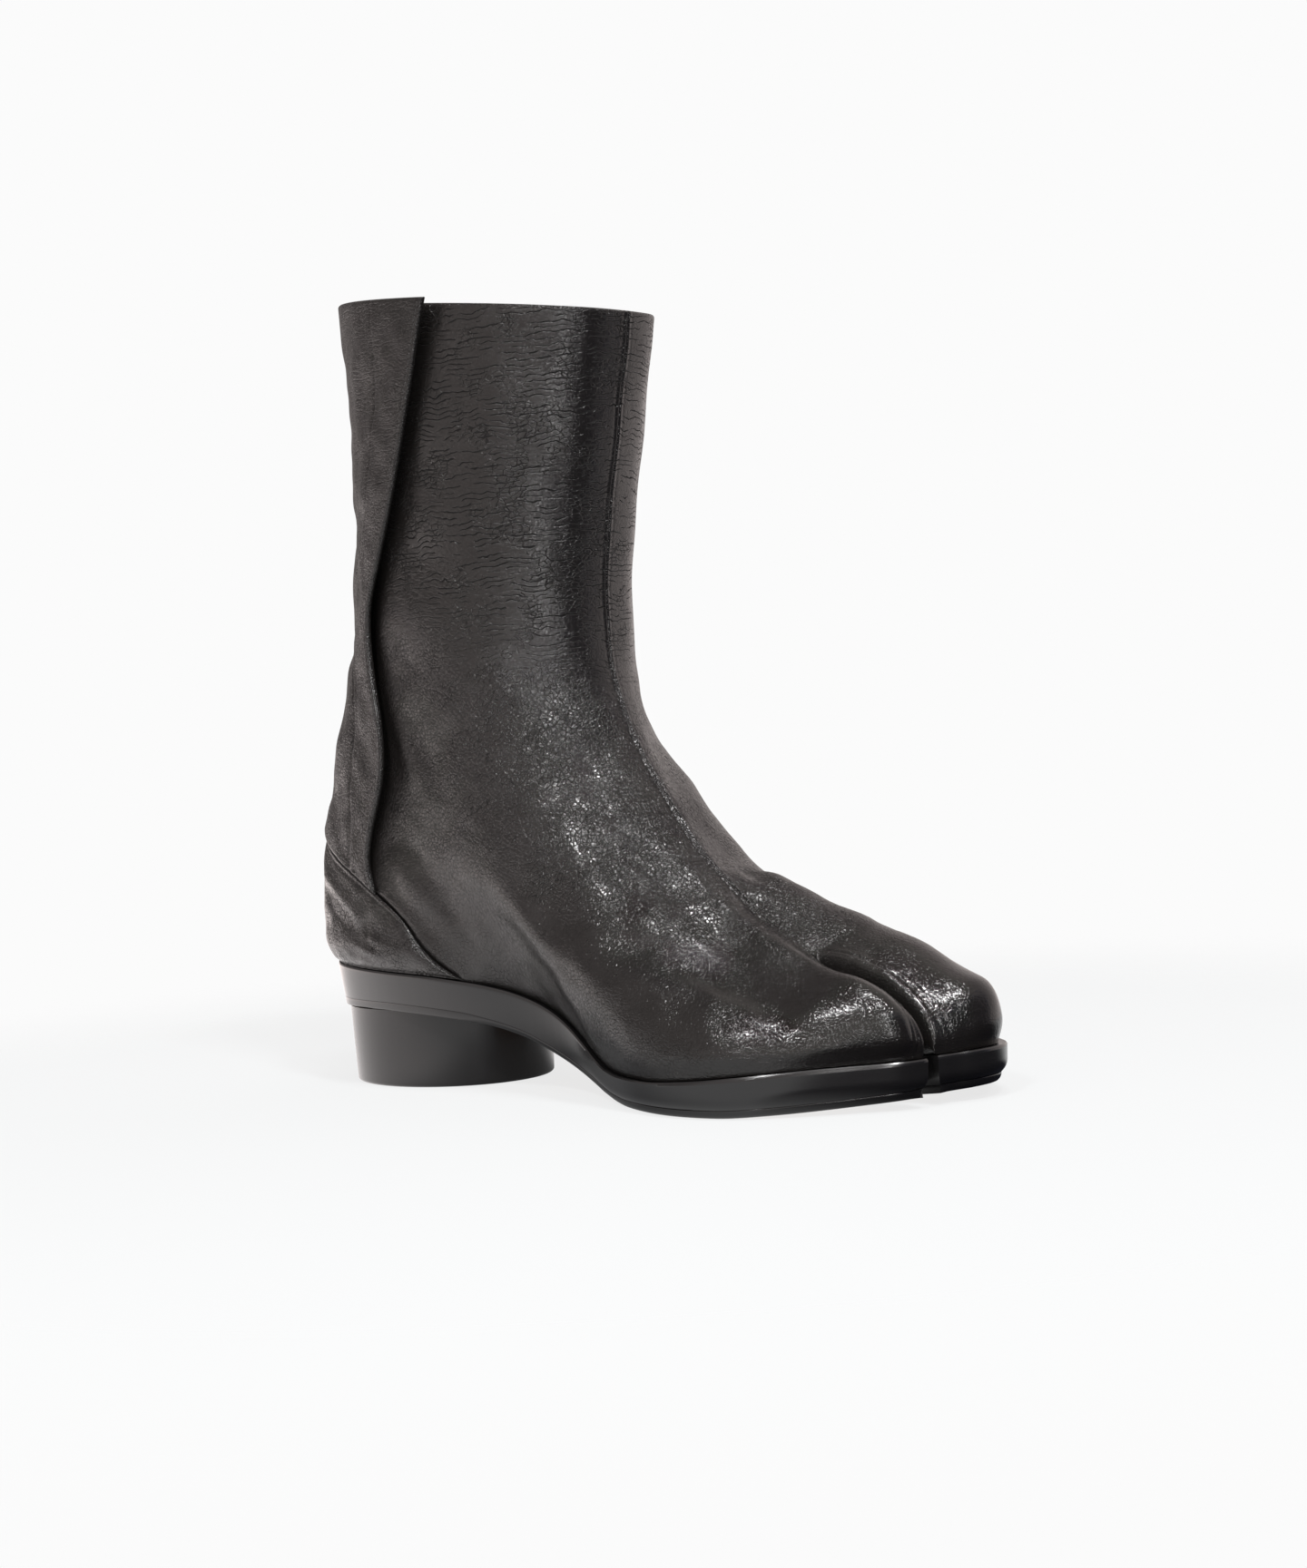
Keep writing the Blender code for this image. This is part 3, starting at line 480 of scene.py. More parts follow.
def leather(name, crack_depth=0.16, pebble_depth=0.17, gloss=0.13):
    """Relief = pebbles x depth - cracks x depth + pores + slow hills; cracks and joints are matt."""
    material, graph = new_material(name)
    here = graph.node("ShaderNodeTexCoord", output="Object")
    shaft, pebble, polish = (graph.node("ShaderNodeAttribute", {"attribute_name": mark}, output="Fac")
                             for mark in ("shaft", "pebble", "polish"))
    stir = graph.node("ShaderNodeTexNoise", {}, {
        "Vector": here, "Scale": 1 / (STIR_SIZE * MM), "Detail": 2.0}, "Color")
    stirred = graph.node("ShaderNodeVectorMath", {"operation": "MULTIPLY_ADD"},
                         {0: stir, 1: (STIR * MM,) * 3, 2: here})
    cracks = level_cracks(graph, here, stirred) * shaft
    tops, joints = pebbled(graph, here, stirred, pebble)
    height = (tops * (pebble_depth * MM) - cracks * (crack_depth * MM)
              + graph.noise(here, PORE, 2.0) * (PORE_DEPTH * MM)
              + graph.noise(here, HILL, 1.0) * (HILL_HEIGHT * MM))
    relief = graph.relief(height)
    rough = gloss + 0.09 * graph.noise(here, 2.2, 2.0) - 0.03 * polish
    shine = graph.node("ShaderNodeBsdfPrincipled", {}, {
        "Base Color": LEATHER_BLACK, "Roughness": rough, "Normal": relief, "Specular IOR Level": 0.5,
        "Coat Weight": 0.02 + 0.03 * polish, "Coat Roughness": 0.30, "Coat IOR": 1.5})
    dull = graph.node("ShaderNodeBsdfPrincipled", {}, {
        "Base Color": CRACK_BLACK, "Roughness": 0.8, "Specular IOR Level": 0.15, "Normal": relief})
    both = graph.node("ShaderNodeMixShader", {}, {0: cracks.most(joints * 0.8), 1: shine, 2: dull})
    graph.node("ShaderNodeOutputMaterial", {}, {"Surface": both})
    return material


upper_leather = leather("glazed black calf")
flap_leather = leather("glazed black calf, flap", crack_depth=0.13, pebble_depth=0.15, gloss=0.19)
counter_leather = leather("glazed black calf, counter", crack_depth=0.12, pebble_depth=0.15, gloss=0.19)


# %% Sole, heel and inside
def polished(name, colour, gloss, coat, relief_size, relief_depth):
    """Ink and wax on dense leather: a dark ground, slow unevenness and a clear coat."""
    material, graph = new_material(name)
    here = graph.node("ShaderNodeTexCoord", output="Object")
    cloud = graph.noise(here, relief_size, 2.0)
    fine = graph.noise(here, 0.9, 2.0)
    height = cloud * (relief_depth * MM) + fine * (0.006 * MM)
    relief = graph.relief(height)
    rough = gloss + 0.06 * cloud + 0.04 * fine
    shine = graph.node("ShaderNodeBsdfPrincipled", {}, {
        "Base Color": colour, "Roughness": rough, "Normal": relief, "Coat Weight": coat,
        "Coat Roughness": 0.08, "Specular IOR Level": 0.5})
    graph.node("ShaderNodeOutputMaterial", {}, {"Surface": shine})
    return material


def tan_leather(name, colour, dark, gloss):
    """Vegetable-tanned leather: cloudy tan, fine fibres along the foot and a dull shine."""
    material, graph = new_material(name)
    here = graph.node("ShaderNodeTexCoord", output="Object")
    cloud = graph.ramp(graph.noise(here, 22, 3.0), 0.3, 0.75)
    along = graph.node("ShaderNodeMapping", {}, {"Vector": here, "Scale": (0.25, 1, 1)})
    fibre = graph.noise(along, 0.7, 3.0)
    mixed = graph.node("ShaderNodeMix", {"data_type": "RGBA"},
                       {"Factor": 0.6 * cloud + 0.4 * fibre, 6: dark, 7: colour}, 2)
    height = fibre * (0.05 * MM) + cloud * (0.1 * MM)
    relief = graph.relief(height)
    shine = graph.node("ShaderNodeBsdfPrincipled", {}, {
        "Base Color": mixed, "Roughness": gloss + 0.15 * fibre, "Normal": relief})
    graph.node("ShaderNodeOutputMaterial", {}, {"Surface": shine})
    return material


edge_black = polished("inked sole edge", (0.0095, 0.0092, 0.0095, 1.0), 0.17, 0.15, 22.0, 0.05)
heel_black = polished("inked heel block", (0.009, 0.0085, 0.0087, 1.0), 0.20, 0.15, 30.0, 0.05)
sole_tan = tan_leather("tan sole leather", (0.46, 0.24, 0.11, 1.0), (0.30, 0.145, 0.065, 1.0), 0.42)
sock_leather = tan_leather("dark insole leather", (0.060, 0.052, 0.047, 1.0),
                           (0.035, 0.030, 0.027, 1.0), 0.55)
lining_leather = tan_leather("dark lining leather", (0.040, 0.036, 0.033, 1.0),
                             (0.022, 0.020, 0.019, 1.0), 0.50)
thread_black = polished("waxed black thread", (0.016, 0.016, 0.017, 1.0), 0.38, 0.2, 0.8, 0.02)
print(len(bpy.data.materials), "materials so far, the packed ones among them")

# %% [markdown]
# ## Folds
# A worn or freshly lasted boot folds where the leather has too much room. A fold is a line on the last with
# a width and a height: a ridge when the height is positive, a trough when it is negative, with a little of
# the opposite beside it, because leather that sinks in one place must rise next to it. A second table holds
# broad swellings, which have a middle and a radius instead of a line.

# %% Folds along lines of u and v
def smooth_line(points, count=48):
    """Spline through (u, v) points, read at equal steps."""
    points = np.asarray(points, float)
    if len(points) == 2:
        points = np.array([points[0], points.mean(0), points[1]])
    knots = np.linspace(0, 1, len(points))
    return through_points(knots, points, np.linspace(0, 1, count))


def distance_to(surface, line):
    """Distance from each surface point to the nearest point of a line, and that point's share of the line."""
    nearest = np.full(surface.shape[:-1], np.inf)
    share = np.zeros(surface.shape[:-1])
    for k, point in enumerate(line):
        d = np.linalg.norm(surface - point, axis=-1)
        closer = d < nearest
        nearest = np.where(closer, d, nearest)
        share = np.where(closer, k / (len(line) - 1), share)
    return nearest, share


def folded(surface, folds):
    """Sum of height x (exp(-(d/w)^2) - shoulder x exp(-((d - 1.9 w)/w)^2)), eased off at each line's ends."""
    relief = np.zeros(surface.shape[:-1])
    for points, width, height, shoulder, fade_start, fade_end in folds:
        u, v = smooth_line(points).T
        distance, share = distance_to(surface, on_last(u, v))
        start = smooth(0, max(fade_start, 1e-3), share + 1e-3)
        ends = start * smooth(0, max(fade_end, 1e-3), 1 - share + 1e-3)
        profile = np.exp(-(distance / width)**2) - shoulder * np.exp(-((distance - 1.9 * width) / width)**2)
        relief += height * profile * ends
    return relief


def hills(surface, size, seed, waves=12):
    """Mean of plane waves about size millimetres long, each in its own direction: soft hills, -1 to 1."""
    rng = np.random.default_rng(seed)
    way = rng.normal(size=(waves, 3))
    way *= (2 * np.pi / size * rng.uniform(0.7, 1.4, waves) / np.linalg.norm(way, axis=1))[:, None]
    start = rng.uniform(0, 2 * np.pi, waves)
    return sum(np.sin(surface @ w + s) for w, s in zip(way, start)) / np.sqrt(waves)


UPPER_FOLDS = [  # points (u, v), half width, height, shoulder, share that fades at the start, at the end
    # inner side, from the shaft down to the sole
    ([(0.335, 8.6), (0.323, 7.6), (0.310, 6.8), (0.290, 6.0)], 4.5, 0.8, 0.3, 0.4, 0.5),
    ([(0.356, 4.9), (0.352, 4.2), (0.338, 3.1), (0.318, 1.7)], 5.0, 0.9, 0.3, 0.3, 0.4),
    ([(0.262, 5.6), (0.252, 4.6), (0.232, 3.6), (0.226, 2.3), (0.216, 1.2), (0.214, 0.3)],
     6.0, 1.0, 0.3, 0.4, 0.2),
    ([(0.178, 6.0), (0.186, 4.9), (0.197, 3.4)], 6.0, -1.0, 0.2, 0.4, 0.4),
    ([(0.100, 6.7), (0.080, 6.9), (0.058, 6.9)], 4.0, -0.9, 0.4, 0.4, 0.4),
    ([(0.168, 4.3), (0.140, 4.3), (0.112, 4.2), (0.093, 3.5), (0.077, 2.8), (0.071, 1.8), (0.075, 0.7)],
     5.0, -1.0, 0.35, 0.35, 0.25),
    ([(0.150, 3.4), (0.120, 3.3), (0.098, 2.6), (0.088, 1.6)], 4.0, 0.4, 0.2, 0.4, 0.4),
    ([(0.190, 8.1), (0.147, 8.7), (0.110, 9.15), (0.067, 9.6)], 4.0, 0.7, 0.4, 0.4, 0.4),
    ([(0.200, 7.4), (0.150, 7.9), (0.105, 8.2), (0.060, 8.4)], 4.5, -0.6, 0.3, 0.4, 0.4),
    ([(0.150, 9.9), (0.128, 9.6), (0.105, 9.3)], 3.2, 0.45, 0.3, 0.4, 0.4),
    ([(0.120, 7.5), (0.085, 7.8), (0.050, 8.0)], 4.5, 0.5, 0.3, 0.4, 0.4),
    ([(0.135, 5.0), (0.085, 5.6), (0.025, 6.3)], 4.5, 0.45, 0.3, 0.4, 0.3),
    # outer side
    ([(0.962, 6.9), (0.975, 6.6), (0.990, 6.25)], 3.0, -1.1, 0.5, 0.5, 0.2),
    ([(0.930, 8.4), (0.955, 8.0), (0.975, 7.6)], 5.0, 0.8, 0.3, 0.5, 0.4),
    ([(0.800, 8.4), (0.850, 9.0), (0.900, 9.4), (0.945, 9.6)], 4.5, -0.9, 0.4, 0.4, 0.4),
    ([(0.780, 7.2), (0.840, 7.7), (0.900, 8.1)], 5.0, 0.8, 0.3, 0.4, 0.4),
    ([(0.760, 5.4), (0.770, 4.2), (0.772, 2.9), (0.778, 1.4)], 6.0, 0.8, 0.3, 0.4, 0.3),
    ([(0.840, 3.9), (0.885, 4.1), (0.915, 3.6), (0.930, 2.8)], 5.5, -0.8, 0.3, 0.4, 0.4),
    ([(0.690, 6.6), (0.705, 5.4), (0.712, 4.2)], 5.5, 0.7, 0.3, 0.4, 0.4),
]
UPPER_FORMS = [  # u, v, radius, height of broad soft swellings
    (0.040, 2.3, 13.0, 2.0), (0.016, 1.6, 8.0, 1.0), (0.085, 2.2, 12.0, -0.8),
    (0.968, 1.9, 8.0, -1.8), (0.985, 3.4, 9.0, 1.6), (0.950, 0.9, 9.0, 0.7),
    (0.123, 9.7, 8.0, 0.7), (0.075, 7.7, 8.0, 0.9), (0.100, 5.5, 9.0, 0.9), (0.940, 7.2, 10.0, 1.2),
]


def swellings(surface, forms):
    """Sum of height x exp(-(d/radius)^2) round each place."""
    relief = np.zeros(surface.shape[:-1])
    for u, v, radius, height in forms:
        relief += height * np.exp(-(np.linalg.norm(surface - on_last(u, v), axis=-1) / radius)**2)
    return relief


print(len(UPPER_FOLDS), "folds and", len(UPPER_FORMS), "broad forms on the upper")

# %% [markdown]
# ## The upper
# The upper is one sheet of leather wrapped round the last, closed by a seam down the front that opens into
# the slit between the big toe and the others. The sheet's grid is crowded next to that seam, where a lip is
# less than a millimetre wide. Its lower edge turns in on the sole, its collar rolls over into the shaft,
# and the edges of the slit roll down into two walls that reach the notch in the sole.

# %% What lies over the upper
COUNTER_EDGE = [  # distance in u, v, from the back down to the feather line
    (0.0, 4.65), (0.028, 4.5), (0.055, 4.18), (0.082, 3.8), (0.105, 3.4), (0.125, 2.8),
    (0.138, 2.2), (0.146, 1.5), (0.154, 0.85), (0.160, 0.45), (0.165, 0.22),
]
FLAP_EDGE = [  # v, u of the free edge, how far the edge stands off the upper
    (3.0, 0.379, 0.6), (4.2, 0.378, 1.4), (5.0, 0.373, 2.1), (6.0, 0.361, 2.8), (7.0, 0.349, 3.1),
    (8.0, 0.347, 2.9), (9.0, 0.356, 2.5), (9.6, 0.358, 2.4), (10.3, 0.347, 2.8), (10.9, 0.328, 3.2),
    (11.7, 0.297, 3.7), (12.5, 0.267, 4.0), (13.2, 0.242, 4.2), (14.0, 0.213, 4.3),
]
FLAP_SEAM_U = 0.575
UPPER_WALL = 1.8
PATCH_FIT = 0.6             # clearance under the sheets that wrap the upper


def covered(u, v):
    """1 where the counter or the flap hides the upper, 0 where it shows, with a soft edge between them."""
    edge = np.array(COUNTER_EDGE)
    counter_u = np.interp(v, edge[::-1, 1], edge[::-1, 0], right=-1.0)
    counter = smooth(0.004, -0.004, abs(u - 0.5) - counter_u)
    flap = np.array(FLAP_EDGE)
    free = np.interp(v, flap[:, 0], flap[:, 1])
    under = smooth(-0.004, 0.004, u - free) * smooth(0.004, -0.004, u - FLAP_SEAM_U) * smooth(2.8, 3.4, v)
    return np.maximum(counter, under)


# %% The sheet's grid
UPPER_COLUMNS, UPPER_ROWS = 420, 196
SEAM_COLUMNS, SEAM_U = 0.05, 0.012          # share of the columns this close to the front seam, each side
TURN_AT_HEEL, RING_STEP = 540.0, 11.0       # mm, about one turn of u and one step of v, low down
STEP_HEIGHT, STEP_REACH = 0.75, 6.0         # mm, how far the upper rises to the counter, and from where


def seam_columns(count):
    """Equal steps in u, but closer within SEAM_U of the front seam."""
    shares = [0, SEAM_COLUMNS, 1 - SEAM_COLUMNS, 1]
    return np.interp(np.linspace(0, 1, count + 1), shares, [0, SEAM_U, 1 - SEAM_U, 1])


def even_rows(count):
    """Rows at equal distances up the surface; the one next to the slit's end is put on it."""
    climb = np.linalg.norm(np.diff(last_points[:, ::40], axis=0), axis=2).mean(1)
    height = np.concatenate([[0], np.cumsum(climb)])
    rows = np.interp(np.linspace(0, height[-1], count + 1), height, FINE_V)
    rows[np.argmin(abs(rows - SLIT_RING))] = SLIT_RING
    return rows


def from_seam(grid):
    """Distance along each row from the nearer of its two ends, in millimetres."""
    step = np.linalg.norm(np.diff(grid, axis=1), axis=2)
    run = np.concatenate([np.zeros((len(grid), 1)), np.cumsum(step, axis=1)], axis=1)
    return np.minimum(run, run[:, -1:] - run)


def bumps(distance, table):
    """Sum of height x exp(-((distance - place) / width)^2) over rows of place, width and height in mm."""
    return sum(height * np.exp(-((distance - place) / width)**2) for place, width, height in table)


def counter_step(u, v):
    """STEP_HEIGHT x exp(-(d/STEP_REACH)^2) at d mm outside the counter's edge, with a groove at the edge."""
    line = smooth_line(np.array(COUNTER_EDGE), 160)
    distance = np.full(u.shape, np.inf)
    for along, top in line:
        aside, above = (abs(u - 0.5) - along) * TURN_AT_HEEL, (v - top) * RING_STEP
        distance = np.minimum(distance, np.hypot(aside, above))
    edge_u = np.interp(v, line[::-1, 1], line[::-1, 0], right=-1.0)
    outside = np.where(abs(u - 0.5) > edge_u, distance, 0)
    return STEP_HEIGHT * np.exp(-(outside / STEP_REACH)**2) * smooth(0.4, 1.3, outside)


def upper_relief(u, v, grid):
    """Folds and hills, quiet at the sole and under other pieces, plus the front seam and the slit's lips."""
    u, v = np.meshgrid(u, v)
    hidden = covered(u, v)
    soft = folded(grid, UPPER_FOLDS) + swellings(grid, UPPER_FORMS)
    soft += 0.30 * hills(grid, 34, 3) + 0.14 * hills(grid, 15, 5) * smooth(11.5, 8.5, v)
    soft += 0.05 * hills(grid, 7, 8) * smooth(11, 9, v)
    soft = np.where(soft > 0, soft * (1 - hidden), soft * (1 - 0.6 * hidden))
    soft *= smooth(0.0, 0.9, v) * smooth(TOP_RING, TOP_RING - 0.25, v)
    s = from_seam(grid)
    soft += counter_step(u, v)
    seam = smooth(SLIT_RING, SLIT_RING + 0.5, v)
    low = smooth(10.5, 8.5, v)
    inner = u < 0.5
    lip = np.where(inner, 0.26 + 0.30 * low, 0.08 + 0.22 * low)
    soft += seam * bumps(s, [(0, 0.30, -0.55 - 0.1 * low), (0.75, 0.38, lip), (1.9, 0.5, -0.10)])
    front = smooth(2.6, 1.4, v)
    lips = bumps(s, [(0.5, 0.7, 0.30), (1.9, 0.42, -0.34), (2.8, 0.6, 0.14), (3.9, 0.45, -0.22 * front)])
    soft += (1 - seam) * lips * smooth(0, 0.5, v)
    return soft


u_columns, v_rows = seam_columns(UPPER_COLUMNS), even_rows(UPPER_ROWS)
upper_base = on_last(*np.meshgrid(u_columns, v_rows))
upper_soft = upper_relief(u_columns, v_rows, upper_base)
upper_grid = on_last(*np.meshgrid(u_columns, v_rows), upper_soft)
print("upper relief from", upper_soft.min().round(2), "to", upper_soft.max().round(2), "mm")


# %% The walls of the slit
WALL_STEPS = 14
LIP = 1.3                                   # mm, how far the leather rolls over the slit's edge
WALL_LEAN = {-1: 0.5, 1: 2.4}               # mm, how far each wall stands into the slit half way down


def notch_half_width(x):
    """Half the width of the split at the sole, round at its end."""
    return SLIT_GAP / 2 * np.sqrt(np.clip((x - NOTCH_END_X) / NOTCH_ROUND, 0, 1))


def slit_wall(edge, ahead, openness, side):
    """Bezier curve from each point of the slit's edge: straight on over the lip, then down to the sole."""
    length = length_along(edge)
    share = length / length[-1]
    foot_x = edge[0, 0] + (NOTCH_END_X - edge[0, 0]) * share
    foot = np.column_stack([foot_x, Y_SLIT + side * notch_half_width(foot_x), height_on(SOLE_TOP, foot_x)])
    over = edge + ahead * (LIP * openness)[:, None]
    lean = WALL_LEAN[side] * openness[:, None]
    middle = edge * 0.45 + foot * 0.55 - np.array([0, side, 0]) * lean
    t = np.linspace(0, 1, WALL_STEPS + 1)[None, :, None]
    return ((1 - t)**3 * edge[:, None] + 3 * t * (1 - t)**2 * over[:, None]
            + 3 * t*t * (1 - t) * middle[:, None] + t**3 * foot[:, None])


def open_upper(grid, v, turn_in, turn_over):
    """Points and faces of [lower edge turned in], grid, [collar turned over] and both walls of the slit."""
    slit_row = int(np.argmin(abs(v - SLIT_RING)))
    grid = grid.copy()
    seam = (grid[slit_row:, 0] + grid[slit_row:, -1]) / 2
    grid[slit_row:, 0] = seam
    grid[slit_row:, -1] = seam
    below = turn_in(grid)[::-1] if turn_in else grid[:0]
    above = turn_over(grid) if turn_over else grid[:0]
    whole = np.concatenate([below, grid, above])
    first = len(below)
    index = np.arange(whole.shape[0] * whole.shape[1]).reshape(whole.shape[:2])
    index[first + slit_row:, -1] = index[first + slit_row:, 0]
    faces = [grid_faces(index)]
    points = [whole.reshape(-1, 3)]
    count = index.size
    openness = np.sqrt(np.clip((SLIT_RING - v[:slit_row + 1]) / SLIT_TAPER, 0, 1))
    shared = None
    for column, next_column, side in ((0, 2, -1), (-1, -3, 1)):
        edge = grid[:slit_row + 1, column]
        ahead = edge - grid[:slit_row + 1, next_column]
        ahead /= np.linalg.norm(ahead, axis=1, keepdims=True)
        wall = slit_wall(edge, ahead, openness, side)
        wall_index = count + np.arange((slit_row + 1) * WALL_STEPS).reshape(slit_row + 1, WALL_STEPS)
        points.append(wall[:, 1:].reshape(-1, 3))
        count += wall_index.size
        wall_index = np.concatenate([index[first:first + slit_row + 1, [column]], wall_index], axis=1)
        wall_index[0] = wall_index[0, 0]
        if shared is None:
            shared = wall_index[-1]
        else:
            wall_index[-1] = shared
        faces.append(grid_faces(wall_index[:, ::-1] if side < 0 else wall_index))
    return np.concatenate(points), np.concatenate(faces), whole.shape[:2], first


TUCK = [(0.15, 0.14), (0.5, 0.22), (3.0, 0.22)]     # mm inward and down, row by row


def lower_edge(grid):
    """Three rows that carry the feather line down on the sole and in under the foot."""
    flat = read_grid(last_normals, u_columns, np.zeros_like(u_columns))
    flat[:, 2] = 0
    flat /= np.linalg.norm(flat, axis=1, keepdims=True)
    up = np.array([0, 0, 1.0])
    return np.stack([grid[0] - flat * inward - up * drop for inward, drop in TUCK])


def collar_edge(grid):
    """A half circle as wide as the wall, from outside over the top and in, then a facing that goes down."""
    normal = read_grid(last_normals, u_columns, np.full_like(u_columns, TOP_RING))
    up = grid[-1] - grid[-3]
    up /= np.linalg.norm(up, axis=1, keepdims=True)
    radius = UPPER_WALL / 2
    turn = np.linspace(0, np.pi, 8)[1:]
    roll = [grid[-1] - normal * (1 - np.cos(a)) * radius + up * np.sin(a) * radius for a in turn]
    facing = [roll[-1] - up * depth for depth in (1.5, 4.0, 8.0)]
    return np.stack(roll + facing)


upper_points, upper_faces, upper_shape, first_row = open_upper(upper_grid, v_rows, lower_edge, collar_edge)
print("upper sheet:", len(upper_points), "points")


# %% The grain's marks on the upper
def grain_marks(u, v, count):
    """How much crack, pebble and polish each point has; those past the grid, in the slit, are polished."""
    side = np.minimum(u, 1 - u)
    shaft = smooth(9.0, 11.2, v)
    ankle = smooth(4.4, 5.6, v) * smooth(11.2, 9.6, v)
    fore = smooth(0.26, 0.10, side)
    pebble = 0.35 + 0.65 * ankle * (0.45 + 0.55 * fore)
    toe = smooth(3.8, 2.6, v) * smooth(0.13, 0.05, side)
    pebble = pebble * (1 - 0.75 * toe) * (1 - 0.8 * shaft)
    marks = {"shaft": shaft, "pebble": pebble, "polish": np.maximum(toe, 0.5 * ankle * fore)}
    plain = {"shaft": 0.0, "pebble": 0.15, "polish": 0.5}
    return {name: np.concatenate([values.ravel(), np.full(count - values.size, plain[name])])
            for name, values in marks.items()}


ROLLED = 9.0                                # v of the grain that the leather rolled in at the collar has
rolled_rows = upper_shape[0] - first_row - len(v_rows)
v_marked = np.concatenate([np.zeros(first_row), v_rows, np.full(rolled_rows, ROLLED)])
u_marks, v_marks = np.meshgrid(u_columns, v_marked)
upper = add_piece("upper", upper_points, upper_faces, upper_leather,
                  grain_marks(u_marks, v_marks, len(upper_points)))
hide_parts("upper")

# %% [markdown]
# ## The lining
# Looking down into the shaft one sees the lining, not the back of the outer leather. It is the same sheet
# on a coarser grid, moved in by the wall's thickness along its own normals and turned inside out.

# %% The lining
LINING_COLUMNS, LINING_ROWS = 150, 90


def sheet_normals(points, faces):
    """Normals of a mesh at its points, as Blender works them out."""
    mesh = bpy.data.meshes.new("scratch sheet")
    mesh.from_pydata(points.tolist(), [], without_repeats(faces))
    normals = np.zeros(len(points) * 3)
    mesh.vertex_normals.foreach_get("vector", normals)
    bpy.data.meshes.remove(mesh)
    return normals.reshape(-1, 3)


lining_u, lining_v = seam_columns(LINING_COLUMNS), even_rows(LINING_ROWS)[:-1]
lining_base = on_last(*np.meshgrid(lining_u, lining_v))
lining_points, lining_faces, _, _ = open_upper(lining_base, lining_v, None, None)
lining_points = lining_points - sheet_normals(lining_points, lining_faces) * UPPER_WALL
lining = add_piece("lining", lining_points, lining_faces[:, ::-1], lining_leather)

# %% [markdown]
# ## Sheets with rounded edges
# The flap and the counter are sheets that lie on the upper. Their cut edges are burnished round. A sheet is
# therefore two layers that meet at its border: its half thickness is that of a circle within a short
# distance of the edge, and full beyond it. Crowding the rows next to the border gives the round enough
# points.

# %% A sheet that lies on the last
def crowded(count, rim, rim_steps=5):
    """Shares from 0 to 1: a few steps, 1 - cos(angle), within rim of each end, and equal steps between."""
    arc = rim * (1 - np.cos(np.linspace(0, np.pi / 2, rim_steps + 1)))
    return np.concatenate([arc[:-1], np.linspace(rim, 1 - rim, count), 1 - arc[::-1][1:]])


def border_distance(grid):
    """Distance of each point to the four borders, along the rows and columns: start, end, bottom, top."""
    across = np.linalg.norm(np.diff(grid, axis=1), axis=2)
    along = np.linalg.norm(np.diff(grid, axis=0), axis=2)
    run = np.concatenate([np.zeros((grid.shape[0], 1)), np.cumsum(across, axis=1)], axis=1)
    climb = np.concatenate([np.zeros((1, grid.shape[1])), np.cumsum(along, axis=0)])
    return run, run[:, -1:] - run, climb, climb[-1:] - climb


def circle_edge(distance, radius):
    """sqrt(1 - (1 - d/r)^2) within r of the edge, 1 beyond: the half thickness of a rounded edge."""
    return np.sqrt(np.clip(1 - np.clip(1 - distance / radius, 0, 1)**2, 0, 1))


def sheet_piece(name, u, v, inside, thickness, rims, relief, lift, material, marks):
    """Closed sheet over a grid of u and v: outer and inner layer, joined along their common border."""
    middle = inside + thickness / 2
    placed = on_last(u, v, middle)
    edges = border_distance(placed)
    swell = np.min([circle_edge(distance, rim) for distance, rim in zip(edges, rims)], axis=0)
    raised = lift[..., None] * (0, 0, 1)
    outer = on_last(u, v, middle + (thickness / 2) * swell + relief(edges) * swell) + raised
    inner = on_last(u, v, middle - (thickness / 2) * swell) + raised
    rows, columns = u.shape
    index = np.arange(u.size).reshape(u.shape)
    under = index + u.size
    under[0], under[-1], under[:, 0], under[:, -1] = index[0], index[-1], index[:, 0], index[:, -1]
    faces = np.concatenate([grid_faces(index), grid_faces(under)[:, ::-1]])
    points, faces, used = used_only(np.concatenate([outer.reshape(-1, 3), inner.reshape(-1, 3)]), faces)
    both = {mark: np.concatenate([values.ravel()] * 2)[used] for mark, values in marks.items()}
    piece = add_piece(name, points, faces, material, both)
    return piece, outer, edges


# %% [markdown]
# ## The closure flap
# The back of the shaft is closed by a long flap. It is sewn down on the outer side, wraps the back and ends
# in a free edge on the inner side that stands a little off the leg, which gives the long shadow beside it.
# A folded facing makes that edge a rounded rim with a row of stitches, and a second seam runs further in.

